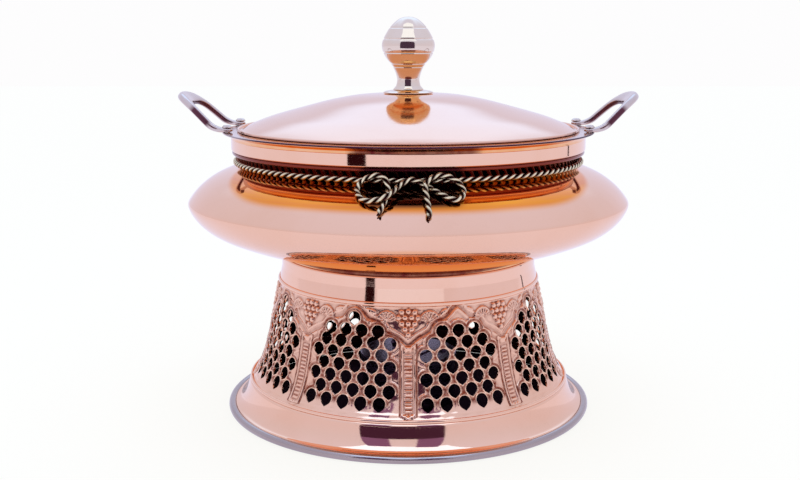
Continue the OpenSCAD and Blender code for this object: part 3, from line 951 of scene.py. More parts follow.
        flat, _, triangles, sources, _, _ = delaunay_2d_cdt(
            [Vector(p) for p in points], edges, [], 1, 1e-5, True)
        flat = np.array([tuple(v) for v in flat])
        triangles = np.array([tuple(f) for f in triangles if len(f) == 3])
        centres = flat[triangles].mean(1)
        solid = relief(centres[:, 0] / UNROLL + SEAM, centres[:, 1])[1] > 0

        plain = [NO_LINE if key in ("hole", "arch", "column") else 0.0 for key in self.keys]
        inner, vertex = {}, []
        for n, source in enumerate(sources):
            key = merged.get(source[0], source[0]) if source else ("new", n)
            if key not in inner:
                x, y = points[key] if source else flat[n]
                self.verts.append(wall_point(x / UNROLL + SEAM, y, -STAND_T))
                self.values.append(plain)
                inner[key] = len(self.verts) - 1
            vertex.append(inner[key])
        for a, b, c in triangles[solid]:
            face = (vertex[a], vertex[c], vertex[b])
            if len(set(face)) == 3:
                self.faces.append(face)
        return {v: inner.get(i) for v, i in index.items()}

    def build(self):
        self.outer_face()
        outer_count = len(self.faces)
        partner = self.inner_face()
        inner_count = len(self.faces) - outer_count

        # walls of the holes and of the two ends, with sharp edges
        ends = []
        for i in range(self.around):
            k = (i + 1) % self.around
            ends.append((self.bottom[i], self.bottom[k]))
            ends.append((self.top[k], self.top[i]))
        sharp = []
        for a, b in self.rim + ends:
            inner_a, inner_b = partner[a], partner[b]
            # the triangulation may have merged two outline points
            if inner_a is None or inner_b is None or inner_a == inner_b:
                continue
            self.faces.append((b, a, inner_a, inner_b))
            sharp += [(a, b), (inner_a, inner_b)]

        used = np.zeros(len(self.verts), bool)
        for face in self.faces:
            used[list(face)] = True
        number = (np.cumsum(used) - 1).tolist()
        faces = [tuple(number[v] for v in face) for face in self.faces]
        values = np.array(self.values)[used]
        wall_count = len(faces) - outer_count - inner_count
        add_piece("stand_pierced_wall", (np.array(self.verts)[used], faces),
                  [copper_stand, copper_inside], "stand", ("stand_shell",),
                  attrs={key: values[:, n] for n, key in enumerate(self.keys)},
                  face_materials=[0] * outer_count + [1] * inner_count + [0] * wall_count,
                  sharp_edges=[(number[a], number[b]) for a, b in sharp])


PiercedWall().build()

# ----------------------------------------------------------------------------------------------
# Stand: flared foot, plain neck band, foot wire, top edge and beads
# ----------------------------------------------------------------------------------------------
FOOT_WIRE_R = FOOT_R - WIRE_R           # radius of the foot wire's centre line
FLARE_TOP_R = float(wall_r(WALL_BOTTOM - 2))
FLARE_END_R = FOOT_WIRE_R - 2.9
FLARE_Z, FLARE_DROP = 24.6, 19
FLARE_ANGLE = math.radians(35)          # where the flare's arc meets the wall


def flared_foot():
    angle = np.radians(np.linspace(90, 35, 44))
    out = 1 - np.cos(angle) / math.cos(FLARE_ANGLE)
    down = (np.sin(angle) - math.sin(FLARE_ANGLE)) / (1 - math.sin(FLARE_ANGLE))
    arc = np.stack([FLARE_TOP_R + (FLARE_END_R - FLARE_TOP_R) * out,
                    FLARE_Z - FLARE_DROP * down], 1)
    tuck_z = WALL_BOTTOM + 0.2
    outer = np.vstack([arc, [[float(wall_r(tuck_z)), tuck_z]]])
    lathe("stand_flared_foot", closed_sheet(outer, STAND_T), copper_sheet, "stand")


def plain_band():
    z = np.concatenate([np.linspace(WALL_TOP - 0.2, 128, 12),
                        np.linspace(128.6, STAND_H - 3.6, 5)])
    outer = np.stack([wall_r(z), z], 1)
    lathe("stand_plain_band", closed_sheet(outer, STAND_T), copper_band, "stand")


def top_edge():
    """The rolled lip; its upper side has a painted dark reflection, strongest at the front."""
    verts, faces = lathe_shape(torus_loop(STAND_NECK - 1.85, STAND_H - 1.83, 2.03, 24))
    ahead = np.clip(1.1 - np.abs(azimuth_of(verts) + 4) / 75, 0.3, 1)
    front = rise(verts[:, 2] - STAND_H, -4.6 * ahead, 0.5) * np.clip(1.5 * ahead, 0, 1)
    add_piece("stand_top_edge", (verts, faces), [copper_cove], "stand", ("stand_top_ring",),
              attrs={"front": front})


def bead(name, node, z, *, sink, out, high):
    """A half-round bead on the wall; sink is how far out its flat back lies."""
    radius = float(wall_r(z)) + sink
    angle = np.linspace(-PI / 2, PI / 2, 16)
    arc = np.stack([radius + out * np.cos(angle) ** 0.9, z + high * np.sin(angle)], 1)
    back = [[radius - 0.4, z + high * 0.8], [radius - 0.4, z - high * 0.8]]
    lathe(name, np.vstack([arc, back]), copper_sheet, "stand", (node,))


flared_foot()
plain_band()
lathe("stand_foot_wire", torus_loop(FOOT_WIRE_R, WIRE_R, WIRE_R, 28), steel_wire, "stand",
      ("stand_rim_wire",))
top_edge()
bead("stand_bead_upper", "stand_upper_bead", WALL_TOP, sink=0.15, out=1.25, high=1.75)
bead("stand_bead_lower", "stand_lower_bead", WALL_BOTTOM, sink=0.1, out=1.35, high=1.8)

# ----------------------------------------------------------------------------------------------
# Bowl
# ----------------------------------------------------------------------------------------------
# Outer outline from the bottom's centre to the mouth: radius, height
BOWL_POINTS = [
    [0, 114.5], [38, 115], [62, 119.5], [85, 128.5], [STAND_NECK - 1.8, SEAT_Z],
    [125.1, SEAT_Z + 2.7], [140.4, SEAT_Z + 7.5], [158, SEAT_Z + 13.9], [173, 161.8],
    [184, 171.2], [BOWL_R, 182], [188.2, 187.8], [180, 197.2], [168.3, 205.6], [155, 211.4],
    [NECK_R + 3.2, 213.4], [NECK_R + 0.9, 216], [NECK_R, 219], [NECK_R + 0.7, 221.8],
    [NECK_R + 2.3, 224], [NECK_R + 3.7, 225.4]]
bowl_outer = smooth_open(curve(BOWL_POINTS, 10), 10)
bowl_outer[:, 0] = np.minimum(bowl_outer[:, 0], BOWL_R)


def bowl_piece(name, node, loop):
    """A turned piece of the bowl, with the masks its material reads."""
    verts, faces = lathe_shape(loop)
    r, z = np.hypot(verts[:, 0], verts[:, 1]), verts[:, 2]
    theta = azimuth_of(verts)
    turn = np.abs(theta)
    # painted shade: the neck, and a ring just inside the stand's top, strongest at the front
    recess_shade = smooth_step((z - 214.2) / 2.2) * (r < 153)
    seat = smooth_step((r - 110.5) / 1.5) * smooth_step((116.0 - r) / 2.5) * (z < 150)
    seat = seat * (0.35 + 0.65 * smooth_step((55 - np.abs(theta + 12)) / 30))
    recess_shade = np.maximum(recess_shade, 0.9 * seat)
    # painted golden reflection: the top of the shoulder, and faintly the underside at the front
    edge = 181.0 - 0.022 * np.maximum(turn - 36, 0) ** 2
    gold_reflection = smooth_step((np.maximum(edge, 149) - r) / 6) * (z > 196) * (r > 140)
    lens = smooth_step((186 - 0.0122 * np.minimum(turn, 45) ** 2 - r) / 2.5) * (z < 180)
    lens = lens * smooth_step((r - 118) / 4) * (turn < 60) * smooth_step((60 - turn) / 15)
    gold_reflection = np.maximum(gold_reflection, 0.42 * lens)
    # painted dark reflection, nearly black: a patch of the shoulder behind the bow
    front = smooth_step((17.0 - np.abs(theta - 1.0) - 0.14 * (r - 147)) / 3.5)
    front = front * smooth_step((176 - r) / 5) * (z > 199) * (r > 140)
    add_piece(name, (verts, faces), [copper_bowl], "bowl", (node,),
              attrs={"recess_shade": recess_shade, "gold_reflection": gold_reflection, "front": 0.93 * front})


bowl_piece("bowl_body", "bowl_shell", closed_sheet(bowl_outer, BOWL_T))
bowl_piece("bowl_rolled_edge", "bowl_rim_wire", torus_loop(NECK_R + 4.35, 226.5, 1.38, 20))

# ----------------------------------------------------------------------------------------------
# Twisted cord: two strands round the neck, and two along the bow
# ----------------------------------------------------------------------------------------------
PITCH = 14.9
STRAND_R = ROPE_D / 4
CORD_SIDES = 12
BOW_UP = (0.02, -0.55, 0.83)
# The bow's path, one end to the other: x, z, lift off the cord or bowl behind it
BOW = [
    [-21.7, 198, 0], [-19, 203.5, 0], [-16.2, 208, 0], [-14.6, 213.4, 0], [-16.5, 219.8, 0],
    [-21, 223.1, 0], [-27.7, 222.2, 0], [-34.5, 218.6, 0], [-38.1, 213.1, 0], [-36.1, 208.7, 0],
    [-30.8, 206.4, 0.5], [-24.3, 207.3, 2], [-17.8, 209.4, 4.6], [-12.8, 212.4, 4.8],
    [-6.9, 216.1, 3.5], [-1, 219.5, 2], [3.5, 220.3, 1], [8.7, 218.4, 0], [14.6, 214.7, 0],
    [21.1, 211.5, 0], [28.3, 208.4, 0], [34.8, 206.8, 0], [39.4, 208.7, 0], [40.6, 212.4, 0],
    [37.8, 217, 0], [31.7, 221.3, 0], [25.7, 223, 0], [19.8, 222.7, 1.5], [15.3, 220.5, 4.2],
    [12, 216.9, 4.9], [12.7, 211.9, 2.5], [13.6, 206.4, 0.6], [14.9, 201.2, 0],
    [14.8, 196.3, 0]]


def add_cord(name, node, path, turns, closed, up=(0, 0, 1), phase=0.0):
    """Two twisted strands. crev, painted shade, is 1 where they press together or face down."""
    count = len(path)
    side, rise_dir = path_frames(path, closed, up)
    twist = np.arange(count) / (count if closed else count - 1) * turns * 2 * PI + phase
    radius = np.full(count, STRAND_R * 1.04)
    if not closed:
        from_end = np.minimum(np.arange(count), np.arange(count)[::-1]) * 1.0
        radius = radius * np.clip(0.35 + from_end / 4, 0, 1)
    strands, painted_dark = [], []
    for turn in (0, PI):
        centre = path + STRAND_R * (np.cos(twist + turn)[:, None] * side
                                    + np.sin(twist + turn)[:, None] * rise_dir)
        verts, faces = tube_shape(centre, radius, CORD_SIDES, closed, up)
        skin = verts[:count * CORD_SIDES].reshape(count, CORD_SIDES, 3) - path[:, None, :]
        pressed = fall(np.linalg.norm(skin, axis=2), 2.38, 0.75)
        under = rise(-skin[:, :, 2] / (2 * STRAND_R), 0.25, 0.5)
        depth = np.maximum(pressed, 0.55 * under).ravel()
        painted_dark += [depth, np.zeros(len(verts) - len(depth))]
        strands.append((verts, faces))
    add_piece(name, join_shapes(strands), [brass_cord], "bowl", (node,),
              attrs={"painted_dark": np.concatenate(painted_dark)})


def neck_cord():
    turns = round(2 * PI * CORD_R / PITCH)
    angle = np.linspace(0, 2 * PI, turns * (20), endpoint=False)
    path = np.stack([CORD_R * np.sin(angle), -CORD_R * np.cos(angle),
                     np.full(len(angle), CORD_Z)], 1)
    add_cord("cord_round_neck", "neck_cord", path, turns, closed=True)


def shoulder_radius(z, off):
    """Radius, at height z, of the surface that lies off outside the bowl's shoulder."""
    outline = inset(bowl_outer[bowl_outer[:, 1] > 183], -off)
    z = min(z, 218.0)
    best = 0.0
    for (r0, z0), (r1, z1) in zip(outline[:-1], outline[1:]):
        if (z0 - z) * (z1 - z) <= 0 and z0 != z1:
            best = max(best, r0 + (r1 - r0) * (z - z0) / (z1 - z0))
    return best


def on_bowl(x, z, lift):
    off = ROPE_D / 2 + 0.3 + lift
    radius = max(shoulder_radius(z, off), NECK_R + 0.6 + ROPE_D + off)
    return [x, -math.sqrt(radius * radius - x * x), z]


def bow_cord():
    path = smooth_open(curve([on_bowl(*point) for point in BOW], 12), 30)
    # even spacing along the path
    steps = np.linalg.norm(np.diff(path, axis=0), axis=1)
    run = np.concatenate([[0], np.cumsum(steps)])
    count = int(run[-1] / (0.85)) + 1
    even = np.linspace(0, run[-1], count)
    path = np.stack([np.interp(even, run, path[:, i]) for i in range(3)], 1)
    add_cord("cord_bow_front", "cord_bow", path, run[-1] / PITCH, closed=False,
             up=BOW_UP, phase=0.6)


neck_cord()
bow_cord()

# ----------------------------------------------------------------------------------------------
# Pan: steel liner with its flange, copper collar, and the cove under the flange
# ----------------------------------------------------------------------------------------------
LINER_T = 1.0
FLANGE_T = 1.2
PAN_BEND = 20                       # inner radius between the pan's floor and side
COLLAR_Z = 228.0


def pan_liner():
    bend_r, bend_z = PAN_R - PAN_BEND, PAN_FLOOR + PAN_BEND + LINER_T
    wall_z = PAN_FLOOR + 40
    loop = np.vstack([
        [[0, PAN_FLOOR], [60, PAN_FLOOR]],
        arc_points(bend_r, bend_z, PAN_BEND + LINER_T, -90, 0, 16),
        [[PAN_R + LINER_T, wall_z], [PAN_R + LINER_T, FLANGE_Z - 2.4]],
        arc_points(PAN_R + 2, FLANGE_Z - 2.2, 1.0, 180, 90, 5),
        [[FLANGE_R - 1.2, FLANGE_Z - FLANGE_T]],
        arc_points(FLANGE_R - FLANGE_T / 2, FLANGE_Z - FLANGE_T / 2, FLANGE_T / 2, -90, 90, 7),
        [[FLANGE_R - 1.6, FLANGE_Z], [PAN_R + 2.6, FLANGE_Z]],
        arc_points(PAN_R + 2, FLANGE_Z - 2, 2.0, 90, 180, 7),
        [[PAN_R, FLANGE_Z - 3], [PAN_R, wall_z]],
        arc_points(bend_r, bend_z, PAN_BEND, 0, -90, 16),
        [[60, PAN_FLOOR + LINER_T], [0, PAN_FLOOR + LINER_T]]])
    verts, faces = lathe_shape(loop)
    # painted dark reflection on the flange's outer edge, round the front
    radius = np.hypot(verts[:, 0], verts[:, 1])
    painted_dark = rise(radius - FLANGE_R, -0.9, 0.3) * fall(np.abs(azimuth_of(verts) - 12), 85, 30)
    add_piece("pan_steel_liner", (verts, faces), [steel_pan], "pan", ("pan_liner",),
              attrs={"painted_dark": painted_dark})


def pan_collar():
    top = FLANGE_Z - 1.35
    corners = [
        [PAN_R + 1.2, COLLAR_Z], [PAN_R + 1.2, COLLAR_Z + 1], [COLLAR_R - 2, COLLAR_Z + 1],
        [COLLAR_R - 1, COLLAR_Z + 2.2], [COLLAR_R - 1, top], [COLLAR_R, top],
        [COLLAR_R, COLLAR_Z + 1.2], [COLLAR_R - 1.2, COLLAR_Z]]
    loop = round_loop(corners, [0.2, 0.2, 1.0, 1.0, 0.2, 0.2, 1.1, 1.1], 7)
    lathe("pan_copper_collar", loop, copper_sheet, "pan", ("pan_collar",))


def collar_cove():
    angle = np.radians(np.linspace(0, 78, 14))
    base_r = COLLAR_R + 0.05
    cove = np.stack([base_r + 2.9 * (1 - np.cos(angle)) / (1 - math.cos(angle[-1])),
                     FLANGE_Z - 6.3 + 4.3 * np.sin(angle) / math.sin(angle[-1])], 1)
    loop = np.vstack([cove, arc_points(COLLAR_R + 2.45, FLANGE_Z - 1.75, 0.5, -20, 90, 6),
                      [[base_r, FLANGE_Z - 1.25]]])
    verts, faces = lathe_shape(loop)
    # painted dark reflection on the bead, round the front
    add_piece("pan_collar_bead", (verts, faces), [copper_cove], "pan", ("collar_bead",),
              attrs={"front": fall(np.abs(azimuth_of(verts) - 2.0), 19.5, 3)})


pan_liner()
pan_collar()
collar_cove()

# ----------------------------------------------------------------------------------------------
# Handles and rivets
# ----------------------------------------------------------------------------------------------
RIVET_X, RIVET_Y = 151.5, 37.0
GRIP_X = HANDLE_X - 7.5
# Half the handle, from a pad's end: x from the rivet (pad) or the grip (leg), y from the rivet,
# height over the flange, half width, half thickness, turn into the loop's sloping plane (0 to 1)
PAD_STATIONS = [
    (-4.3, 0, 1.9, 1.5, 0.9, 0.0),
    (-3.0, 0, 1.95, 3.7, 1.5, 0.0),
    (0, 0, 1.95, 4.8, 1.8, 0.0),
    (3.8, -0.05, 2.1, 4.3, 1.95, 0.05),
    (8.0, -0.2, 2.7, 3.3, 2.3, 0.35)]
LEG_STATIONS = [
    (-26.8, -1.0, 5.1, 2.9, 2.8, 0.8),
    (-22.0, -2.4, 9.4, 2.8, 2.9, 1.0),
    (-16.5, -4.7, 14.6, 2.9, 2.9, 1.0),
    (-11.0, -7.8, 19.6, 3.4, 2.9, 1.0),
    (-6.3, -13.0, 23.2, 4.7, 3.1, 1.0),
    (-3.0, -19.3, 25.3, 5.9, 3.4, 1.0),
    (-0.8, -28.0, 26.1, 6.8, 3.7, 1.0)]
GRIP_MIDDLE = (GRIP_X, 0.0, FLANGE_Z + 26.3, 7.0, 3.8, 1.0)
LOOP_NORMAL = np.array([-0.629, 0.0, 0.777])    # square to the loop's sloping plane
HANDLE_SIDES = 24
WIDTH_POWER, THICK_POWER = 0.55, 0.75           # how square the section is


def handle_shape(side):
    """A cast strap with flat pads, and a painted dark reflection on its edges."""
    half = [(base + x, RIVET_Y + y, FLANGE_Z + z, *rest)
            for base, table in ((RIVET_X, PAD_STATIONS), (GRIP_X, LEG_STATIONS))
            for x, y, z, *rest in table]
    mirrored = [(x, -y, *rest) for x, y, *rest in reversed(half)]
    stations = curve(half + [GRIP_MIDDLE] + mirrored, 7)
    path = smooth_open(stations[:, :3], 4)
    lean = smooth_lean(np.clip(stations[:, 5], 0, 1))
    tangents = np.gradient(path, axis=0)
    tangents /= np.linalg.norm(tangents, axis=1)[:, None]
    angle = np.linspace(0, 2 * PI, HANDLE_SIDES, endpoint=False)
    cos, sin = np.cos(angle), np.sin(angle)
    rings, painted_dark = [], []
    for i, tangent in enumerate(tangents):
        normal = np.array([0.0, 0.0, 1.0]) * (1 - lean[i]) + LOOP_NORMAL * lean[i]
        wide = np.cross(tangent, normal)
        wide /= np.linalg.norm(wide)
        thick = np.cross(tangent, wide)
        x = np.sign(cos) * np.abs(cos) ** WIDTH_POWER * stations[i, 3]
        y = np.sign(sin) * np.abs(sin) ** THICK_POWER * stations[i, 4]
        rings.append(path[i] + x[:, None] * wide + y[:, None] * thick)
        # painted dark reflection: one edge all along, the other only midway up each leg
        height = path[i][2] - FLANGE_Z
        leg = rise(height, 5, 3) * fall(height, 20.5, 3)
        painted_dark.append(np.maximum(rise(cos, 0.80, 0.14), rise(-cos, 0.55, 0.3) * leg) * lean[i])
    count, sides = len(rings), HANDLE_SIDES
    faces = []
    for i in range(count - 1):
        a, b = i * sides, (i + 1) * sides
        for k in range(sides):
            k2 = (k + 1) % sides
            faces.append((a + k, a + k2, b + k2, b + k))
    verts = np.vstack(rings + [rings[0].mean(0), rings[-1].mean(0)])
    first, end = count * sides, (count - 1) * sides
    for k in range(sides):
        k2 = (k + 1) % sides
        faces.append((first, k2, k))
        faces.append((first + 1, end + k, end + k2))
    verts[:, 2] = np.maximum(verts[:, 2], FLANGE_Z + 0.06)
    if side < 0:
        verts = verts * np.array([-1, 1, 1])
        faces = [tuple(reversed(face)) for face in faces]
    return (verts, faces), np.concatenate(painted_dark + [[0.0, 0.0]])


def smooth_lean(lean):
    return lean * lean * (3 - 2 * lean)


def rivet_shape(side):
    """The two domed rivets of one handle. Rows: radius, height over the flange."""
    profile = np.array([[0, -1.15], [2.2, -1.15], [2.2, 3.7], [4.4, 3.8], [4.1, 5.0],
                        [2.6, 6.2], [0, 6.4]]) + np.array([0, FLANGE_Z])
    loop = round_loop(profile, [0, 0.2, 0.2, 0.4, 0.8, 0.8, 0], 4)
    verts, faces = lathe_shape(loop, 40)
    return join_shapes([(verts + np.array([side * RIVET_X, y, 0]), faces)
                        for y in (-RIVET_Y, RIVET_Y)])


for side, tag in ((-1, "left"), (1, "right")):
    shape, painted_dark = handle_shape(side)
    add_piece("handle_cast_" + tag, shape, [steel_handle], "pan", ("handle_" + tag,),
              attrs={"painted_dark": painted_dark})
    add_piece("rivets_domed_" + tag, rivet_shape(side), [steel_cast], "pan",
              ("handle_rivets_" + tag,))

# ----------------------------------------------------------------------------------------------
# Lid and knob
# ----------------------------------------------------------------------------------------------
LID_EDGE = FLANGE_Z + 1.3
LID_RISE = CROWN - LID_EDGE
# Dome from edge to crown: share of the lid's radius, share of its rise
LID_SHAPE = [[1, 0], [0.95, 0.125], [0.85, 0.31], [0.76, 0.44], [0.63, 0.61], [0.50, 0.775],
             [0.40, 0.875], [0.30, 0.95], [0.155, 0.992], [0, 1]]
KNOB_Z = CROWN + 2.7
# Knob from stem to top: radius, height over KNOB_Z
KNOB_SHAPE = [
    [10.6, 3.4], [9.7, 7.2], [9.9, 10.6], [11.7, 16.4], [KNOB_R - 8.2, 21.6],
    [KNOB_R - 4, 26.6], [KNOB_R - 1.2, 31.6], [KNOB_R, 36.6], [KNOB_R - 0.7, 41.8],
    [KNOB_R - 4.6, 49.4], [KNOB_R - 8.3, 54.6], [9, 59.4], [4.6, 61.4], [0, 62]]
# Rounded grooves turned in the knob: height over KNOB_Z, depth, half width
KNOB_GROOVES = [(52.6, 0.55, 0.9), (43.2, 0.65, 0.95), (31.8, 0.6, 0.9), (22.6, 0.6, 0.8),
                (19.6, 0.45, 0.7)]
BORE_R, BORE_DEPTH = 3.05, 16


def lid():
    dome_points = [[LID_R * r, LID_EDGE + LID_RISE * z] for r, z in LID_SHAPE]
    outer = np.vstack([[[LID_R + 2.5, LID_EDGE + 0.1], [LID_R + 1.2, LID_EDGE + 0.05]],
                       smooth_open(curve(dome_points, 12), 20)])
    lathe("lid_dome", closed_sheet(outer, LID_T), copper_lid, "lid", ("lid_shell",))
    lathe("lid_rolled_edge", torus_loop(LID_R + 3.75, LID_EDGE + 0.05, 1.2, 16), copper_lid,
          "lid", ("lid_rim_ring",))


def knob():
    outline = curve(KNOB_SHAPE, 14)
    outline[:, 0] = np.clip(outline[:, 0], 0, None)
    for groove_z, depth, half in KNOB_GROOVES:
        outline[:, 0] -= depth * ridge(outline[:, 1] - groove_z, half)
    # a point midway between each pair
    dense = np.empty((2 * len(outline) - 1, 2))
    dense[::2] = outline
    dense[1::2] = (outline[:-1] + outline[1:]) / 2
    dense[-1, 0] = 0
    base = [[BORE_R, BORE_DEPTH], [BORE_R, 0.1], [12.9, 0.02], [13.2, 0.35], [12.4, 1.4]]
    loop = np.vstack([base, dense, [[0, BORE_DEPTH]]]) + np.array([0, KNOB_Z])
    lathe("knob_turned", loop, nickel, "lid", ("knob",), segments=128)


def knob_plate():
    """Rows: radius, height over the crown."""
    corners = np.array([[3.2, 0.12], [21.2, 0.12], [21.7, 0.8], [19.4, 1.8], [14.5, 2.6],
                        [3.2, 2.6]]) + np.array([0, CROWN])
    loop = round_loop(corners, [0.1, 0.3, 0.5, 1.0, 0.8, 0.1], 5)
    lathe("knob_foot_plate", loop, nickel, "lid", ("knob_base",), segments=128)


lid()
knob()
knob_plate()

# CAD nodes that keep their shape and take a finished material
KEPT_NODES = {
    "lid_locating_ring": steel_pan, "knob_screw": steel_brushed, "knob_washer": steel_brushed,
    "burner_cup": steel_burner, "burner_wick": fibre, "burner_cover": steel_burner,
    "shutter_rivet": steel_burner, "burner_shutter": steel_burner, "shutter_knob": steel_burner}
for name, material in KEPT_NODES.items():
    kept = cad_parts[name]
    if not kept.material_slots:
        kept.data.materials.append(material)
    for material_slot in kept.material_slots:
        material_slot.material = material

# ----------------------------------------------------------------------------------------------
# Stage: glowing cards that only reflections see
# ----------------------------------------------------------------------------------------------
scene = bpy.context.scene


def glow_material(name, colour, seen_from):
    """A glow seen only by rays that start between two heights, in metres."""
    k = Shader(bpy.data.materials.new(name))
    output = k.node("OutputMaterial")
    glow = k.node("Emission", {0: colour, 1: 1.0})
    geometry = k.node("NewGeometry")
    back = k.node("SeparateXYZ", {0: geometry.outputs["Incoming"]})
    hit = k.node("SeparateXYZ", {0: geometry.outputs["Position"]})
    length = k.node("LightPath").outputs["Ray Length"]
    start = k.math("ADD", hit.outputs[2], k.math("MULTIPLY", back.outputs[2], length))
    seen = k.math("MULTIPLY", k.math("GREATER_THAN", start, seen_from[0]),
                  k.math("LESS_THAN", start, seen_from[1]))
    clear = k.node("BsdfTransparent")
    both = k.node("MixShader", {0: k.math("SUBTRACT", 1.0, seen), 1: glow.outputs[0],
                                2: clear.outputs[0]})
    k.feed(output.inputs[0], both.outputs[0])
    return k.owner


# Heights, in metres, of the surfaces that see a card
LOW, HIGH = (-1.0, 0.114), (0.276, 9.0)
# Key: material name, colour, seen from
GLOWS = {
    "stand": ("opening_dark_stand", (0.060, 0.022, 0.060), LOW),
    "knob": ("opening_dark_knob", (0.070, 0.040, 0.080), HIGH),
    "veil": ("opening_veil", (0.230, 0.130, 0.330), LOW),
    "black": ("bar_black", (0.020, 0.004, 0.006), (0.060, 0.1385)),
    "black_high": ("bar_black_high", (0.022, 0.004, 0.007), (0.2275, 0.2440)),
    "sheet": ("pale_sheet", (0.90, 0.97, 1.24), (0.114, 0.1385)),
    "roof": ("tent_roof", (1.30, 1.75, 2.50), LOW),
    "face": ("tent_face", (1.15, 1.32, 1.55), HIGH),
    "room": ("dark_room", (0.120, 0.030, 0.060), (0.2462, 0.2745))}
glows = {key: glow_material(*row) for key, row in GLOWS.items()}


def upright(azimuth0, azimuth1, z0, z1, distance):
    """Corners of a standing card between two azimuths, at a distance from the axis."""
    def corner(azimuth, z):
        angle = math.radians(azimuth)
        return distance * math.sin(angle), -distance * math.cos(angle), z
    return [corner(azimuth0, z0), corner(azimuth1, z0), corner(azimuth1, z1),
            corner(azimuth0, z1)]


# Name, glow, corners; for upright: two azimuths, bottom, top, distance
CARDS = [
    ("opening_low", "stand", upright(-32, 24, 300, 1050, 2500)),
    ("opening_low_high", "knob", upright(-36, 28, 0, 1000, 1200)),
    ("opening_left", "veil", upright(-32, -13, 1050, 2800, 2560)),
    ("opening_right", "veil", upright(6, 24, 1050, 3100, 2570)),
    ("opening_bar", "black", upright(-34, -26.5, 0, 420, 640)),
    ("opening_bar_high", "black_high", upright(-33, -22.7, 0, 420, 648)),
    ("pale_sheet_front", "sheet", upright(-26.5, 30, 0, 560, 2540)),
    ("tent_face_card", "face", upright(-44, 42, 1900, 5600, 2400)),
    ("tent_face_top_card", "face",
     [(-2400, -2380, 5650), (2400, -2380, 5650), (1600, 500, 5650), (-1600, 500, 5650)]),
    ("dark_room_card", "room", upright(-34, 34, 0, 900, 1900)),
    ("tent_seam", "black", upright(112, 113.6, 0, 520, 900)),
    ("tent_seam_high", "black_high", upright(112, 113.6, 0, 520, 908)),
    ("tent_roof_card", "roof",
     [(-2300, -3700, 4200), (2100, -3700, 4200), (1900, -300, 4200), (-2100, -300, 4200)])]


def stage_quad(name, corners, material):
    """A four-cornered card or floor, with corners in metres."""
    mesh = bpy.data.meshes.new(name)
    mesh.from_pydata(corners, [], [(0, 1, 2, 3)])
    mesh.materials.append(material)
    obj = bpy.data.objects.new(name, mesh)
    scene.collection.objects.link(obj)
    return obj


for name, glow, corners in CARDS:
    card = stage_quad(name, [tuple(c * MM for c in point) for point in corners], glows[glow])
    card.visible_camera = False
    card.visible_shadow = False
    card.visible_diffuse = False

# ----------------------------------------------------------------------------------------------
# Stage: floor, world, light and camera, in metres
# ----------------------------------------------------------------------------------------------


def floor_material():
    """A pale floor, partly glowing in its own and in its mirrored colour; inside the stand, a dark
    painted shade.
    """
    k = Shader(bpy.data.materials.new("floor_pale"))
    camera_ray = k.node("LightPath").outputs["Is Camera Ray"]
    position = k.node("NewGeometry").outputs["Position"]
    x, y, _ = k.node("SeparateXYZ", {0: position}).outputs
    squares = k.math("ADD", k.math("MULTIPLY", x, x), k.math("MULTIPLY", y, y))
    distance = k.math("SQRT", squares, 0.0)
    outside = k.math("GREATER_THAN", distance, (FOOT_WIRE_R - 0.4) * MM)
    lit = k.node("BsdfDiffuse", {0: (0.80, 0.79, 0.80)}).outputs[0]

    def part_glow(colour):
        glow = k.node("Emission", {0: colour, 1: 1.0})
        return k.node("MixShader", {0: 0.80, 1: lit, 2: glow.outputs[0]}).outputs[0]

    seen = part_glow((1.07, 1.068, 1.005))
    mirrored = part_glow((0.92, 0.93, 1.16))
    open_floor = k.node("MixShader", {0: camera_ray, 1: mirrored, 2: seen}).outputs[0]
    shade = k.node("BsdfDiffuse", {0: (0.030, 0.016, 0.024)}).outputs[0]
    both = k.node("MixShader", {0: outside, 1: shade, 2: open_floor})
    k.node("OutputMaterial", {0: both.outputs[0]})
    return k.owner


floor = stage_quad("floor", [(-6, -6, 0), (6, -6, 0), (6, 6, 0), (-6, 6, 0)], floor_material())
floor.location.z = -0.0002

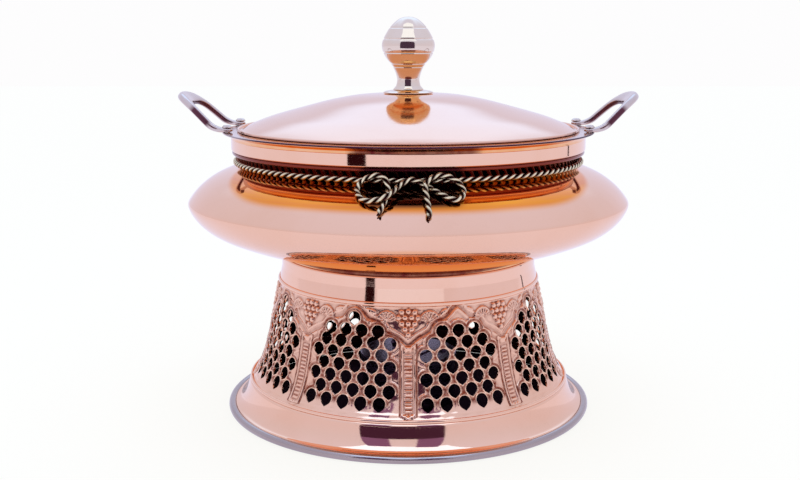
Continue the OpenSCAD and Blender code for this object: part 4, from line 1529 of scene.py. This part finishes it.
# Tent colour by the height of the direction looked in
TENT_STOPS = [(0.0, (0.80, 0.80, 1.00)), (0.12, (0.79, 0.79, 0.99)),
              (0.40, (0.77, 0.81, 1.04)), (1.0, (0.80, 0.87, 1.17))]
BACKDROP_GLOW = (0.22, 0.46, 0.72)
CAMERA_WHITE = (0.985, 0.98, 0.985)


def white_tent():
    world = bpy.data.worlds.new("white_tent")
    scene.world = world
    k = Shader(world)
    output = k.node("OutputWorld")
    background = k.node("Background", {1: 1.0})
    camera_ray = k.node("LightPath").outputs["Is Camera Ray"]
    direction = k.node("TexCoord").outputs["Generated"]
    x, y, z = k.node("SeparateXYZ", {0: direction}).outputs
    tent = k.ramp(z, TENT_STOPS)

    def soft(value, start, end):
        return k.remap(value, span=(start, end), to=(0.0, 1.0), interpolation="SMOOTHSTEP")

    # the bright backdrop behind the dish
    sideways = k.math("ABSOLUTE", x, 0.0)
    level = k.math("MULTIPLY", soft(sideways, start=0.60, end=0.20),
                   soft(y, start=0.05, end=0.30))
    upward = k.math("MULTIPLY", soft(z, start=0.36, end=0.50), soft(z, start=0.97, end=0.80))
    tent = k.mix(k.math("MULTIPLY", level, upward), tent, BACKDROP_GLOW, blend="ADD")
    k.feed(background.inputs[0], k.mix(camera_ray, tent, CAMERA_WHITE))
    k.feed(output.inputs[0], background.outputs[0])


def top_light():
    light = bpy.data.lights.new("soft_top", "AREA")
    light.shape = "RECTANGLE"
    light.size, light.size_y = 0.7, 0.5
    light.energy = 2.0
    light.color = (1.0, 0.98, 1.0)
    obj = bpy.data.objects.new("soft_top", light)
    obj.location = (0.0, -0.25, 1.6)
    scene.collection.objects.link(obj)
    obj.visible_camera = False
    obj.visible_glossy = False


def front_camera():
    camera = bpy.data.cameras.new("camera")
    camera.sensor_width = 36
    camera.lens = 49.14
    camera.shift_x = -0.0104
    camera.clip_start = 0.05
    camera.clip_end = 20
    obj = bpy.data.objects.new("camera", camera)
    obj.location = (0, -0.952, 0.3255)
    obj.rotation_euler = (math.radians(90 - 10.69), 0, 0)   # looks 10.69 degrees down
    scene.collection.objects.link(obj)
    scene.camera = obj


white_tent()
top_light()
front_camera()
scene.view_settings.view_transform = "Standard"
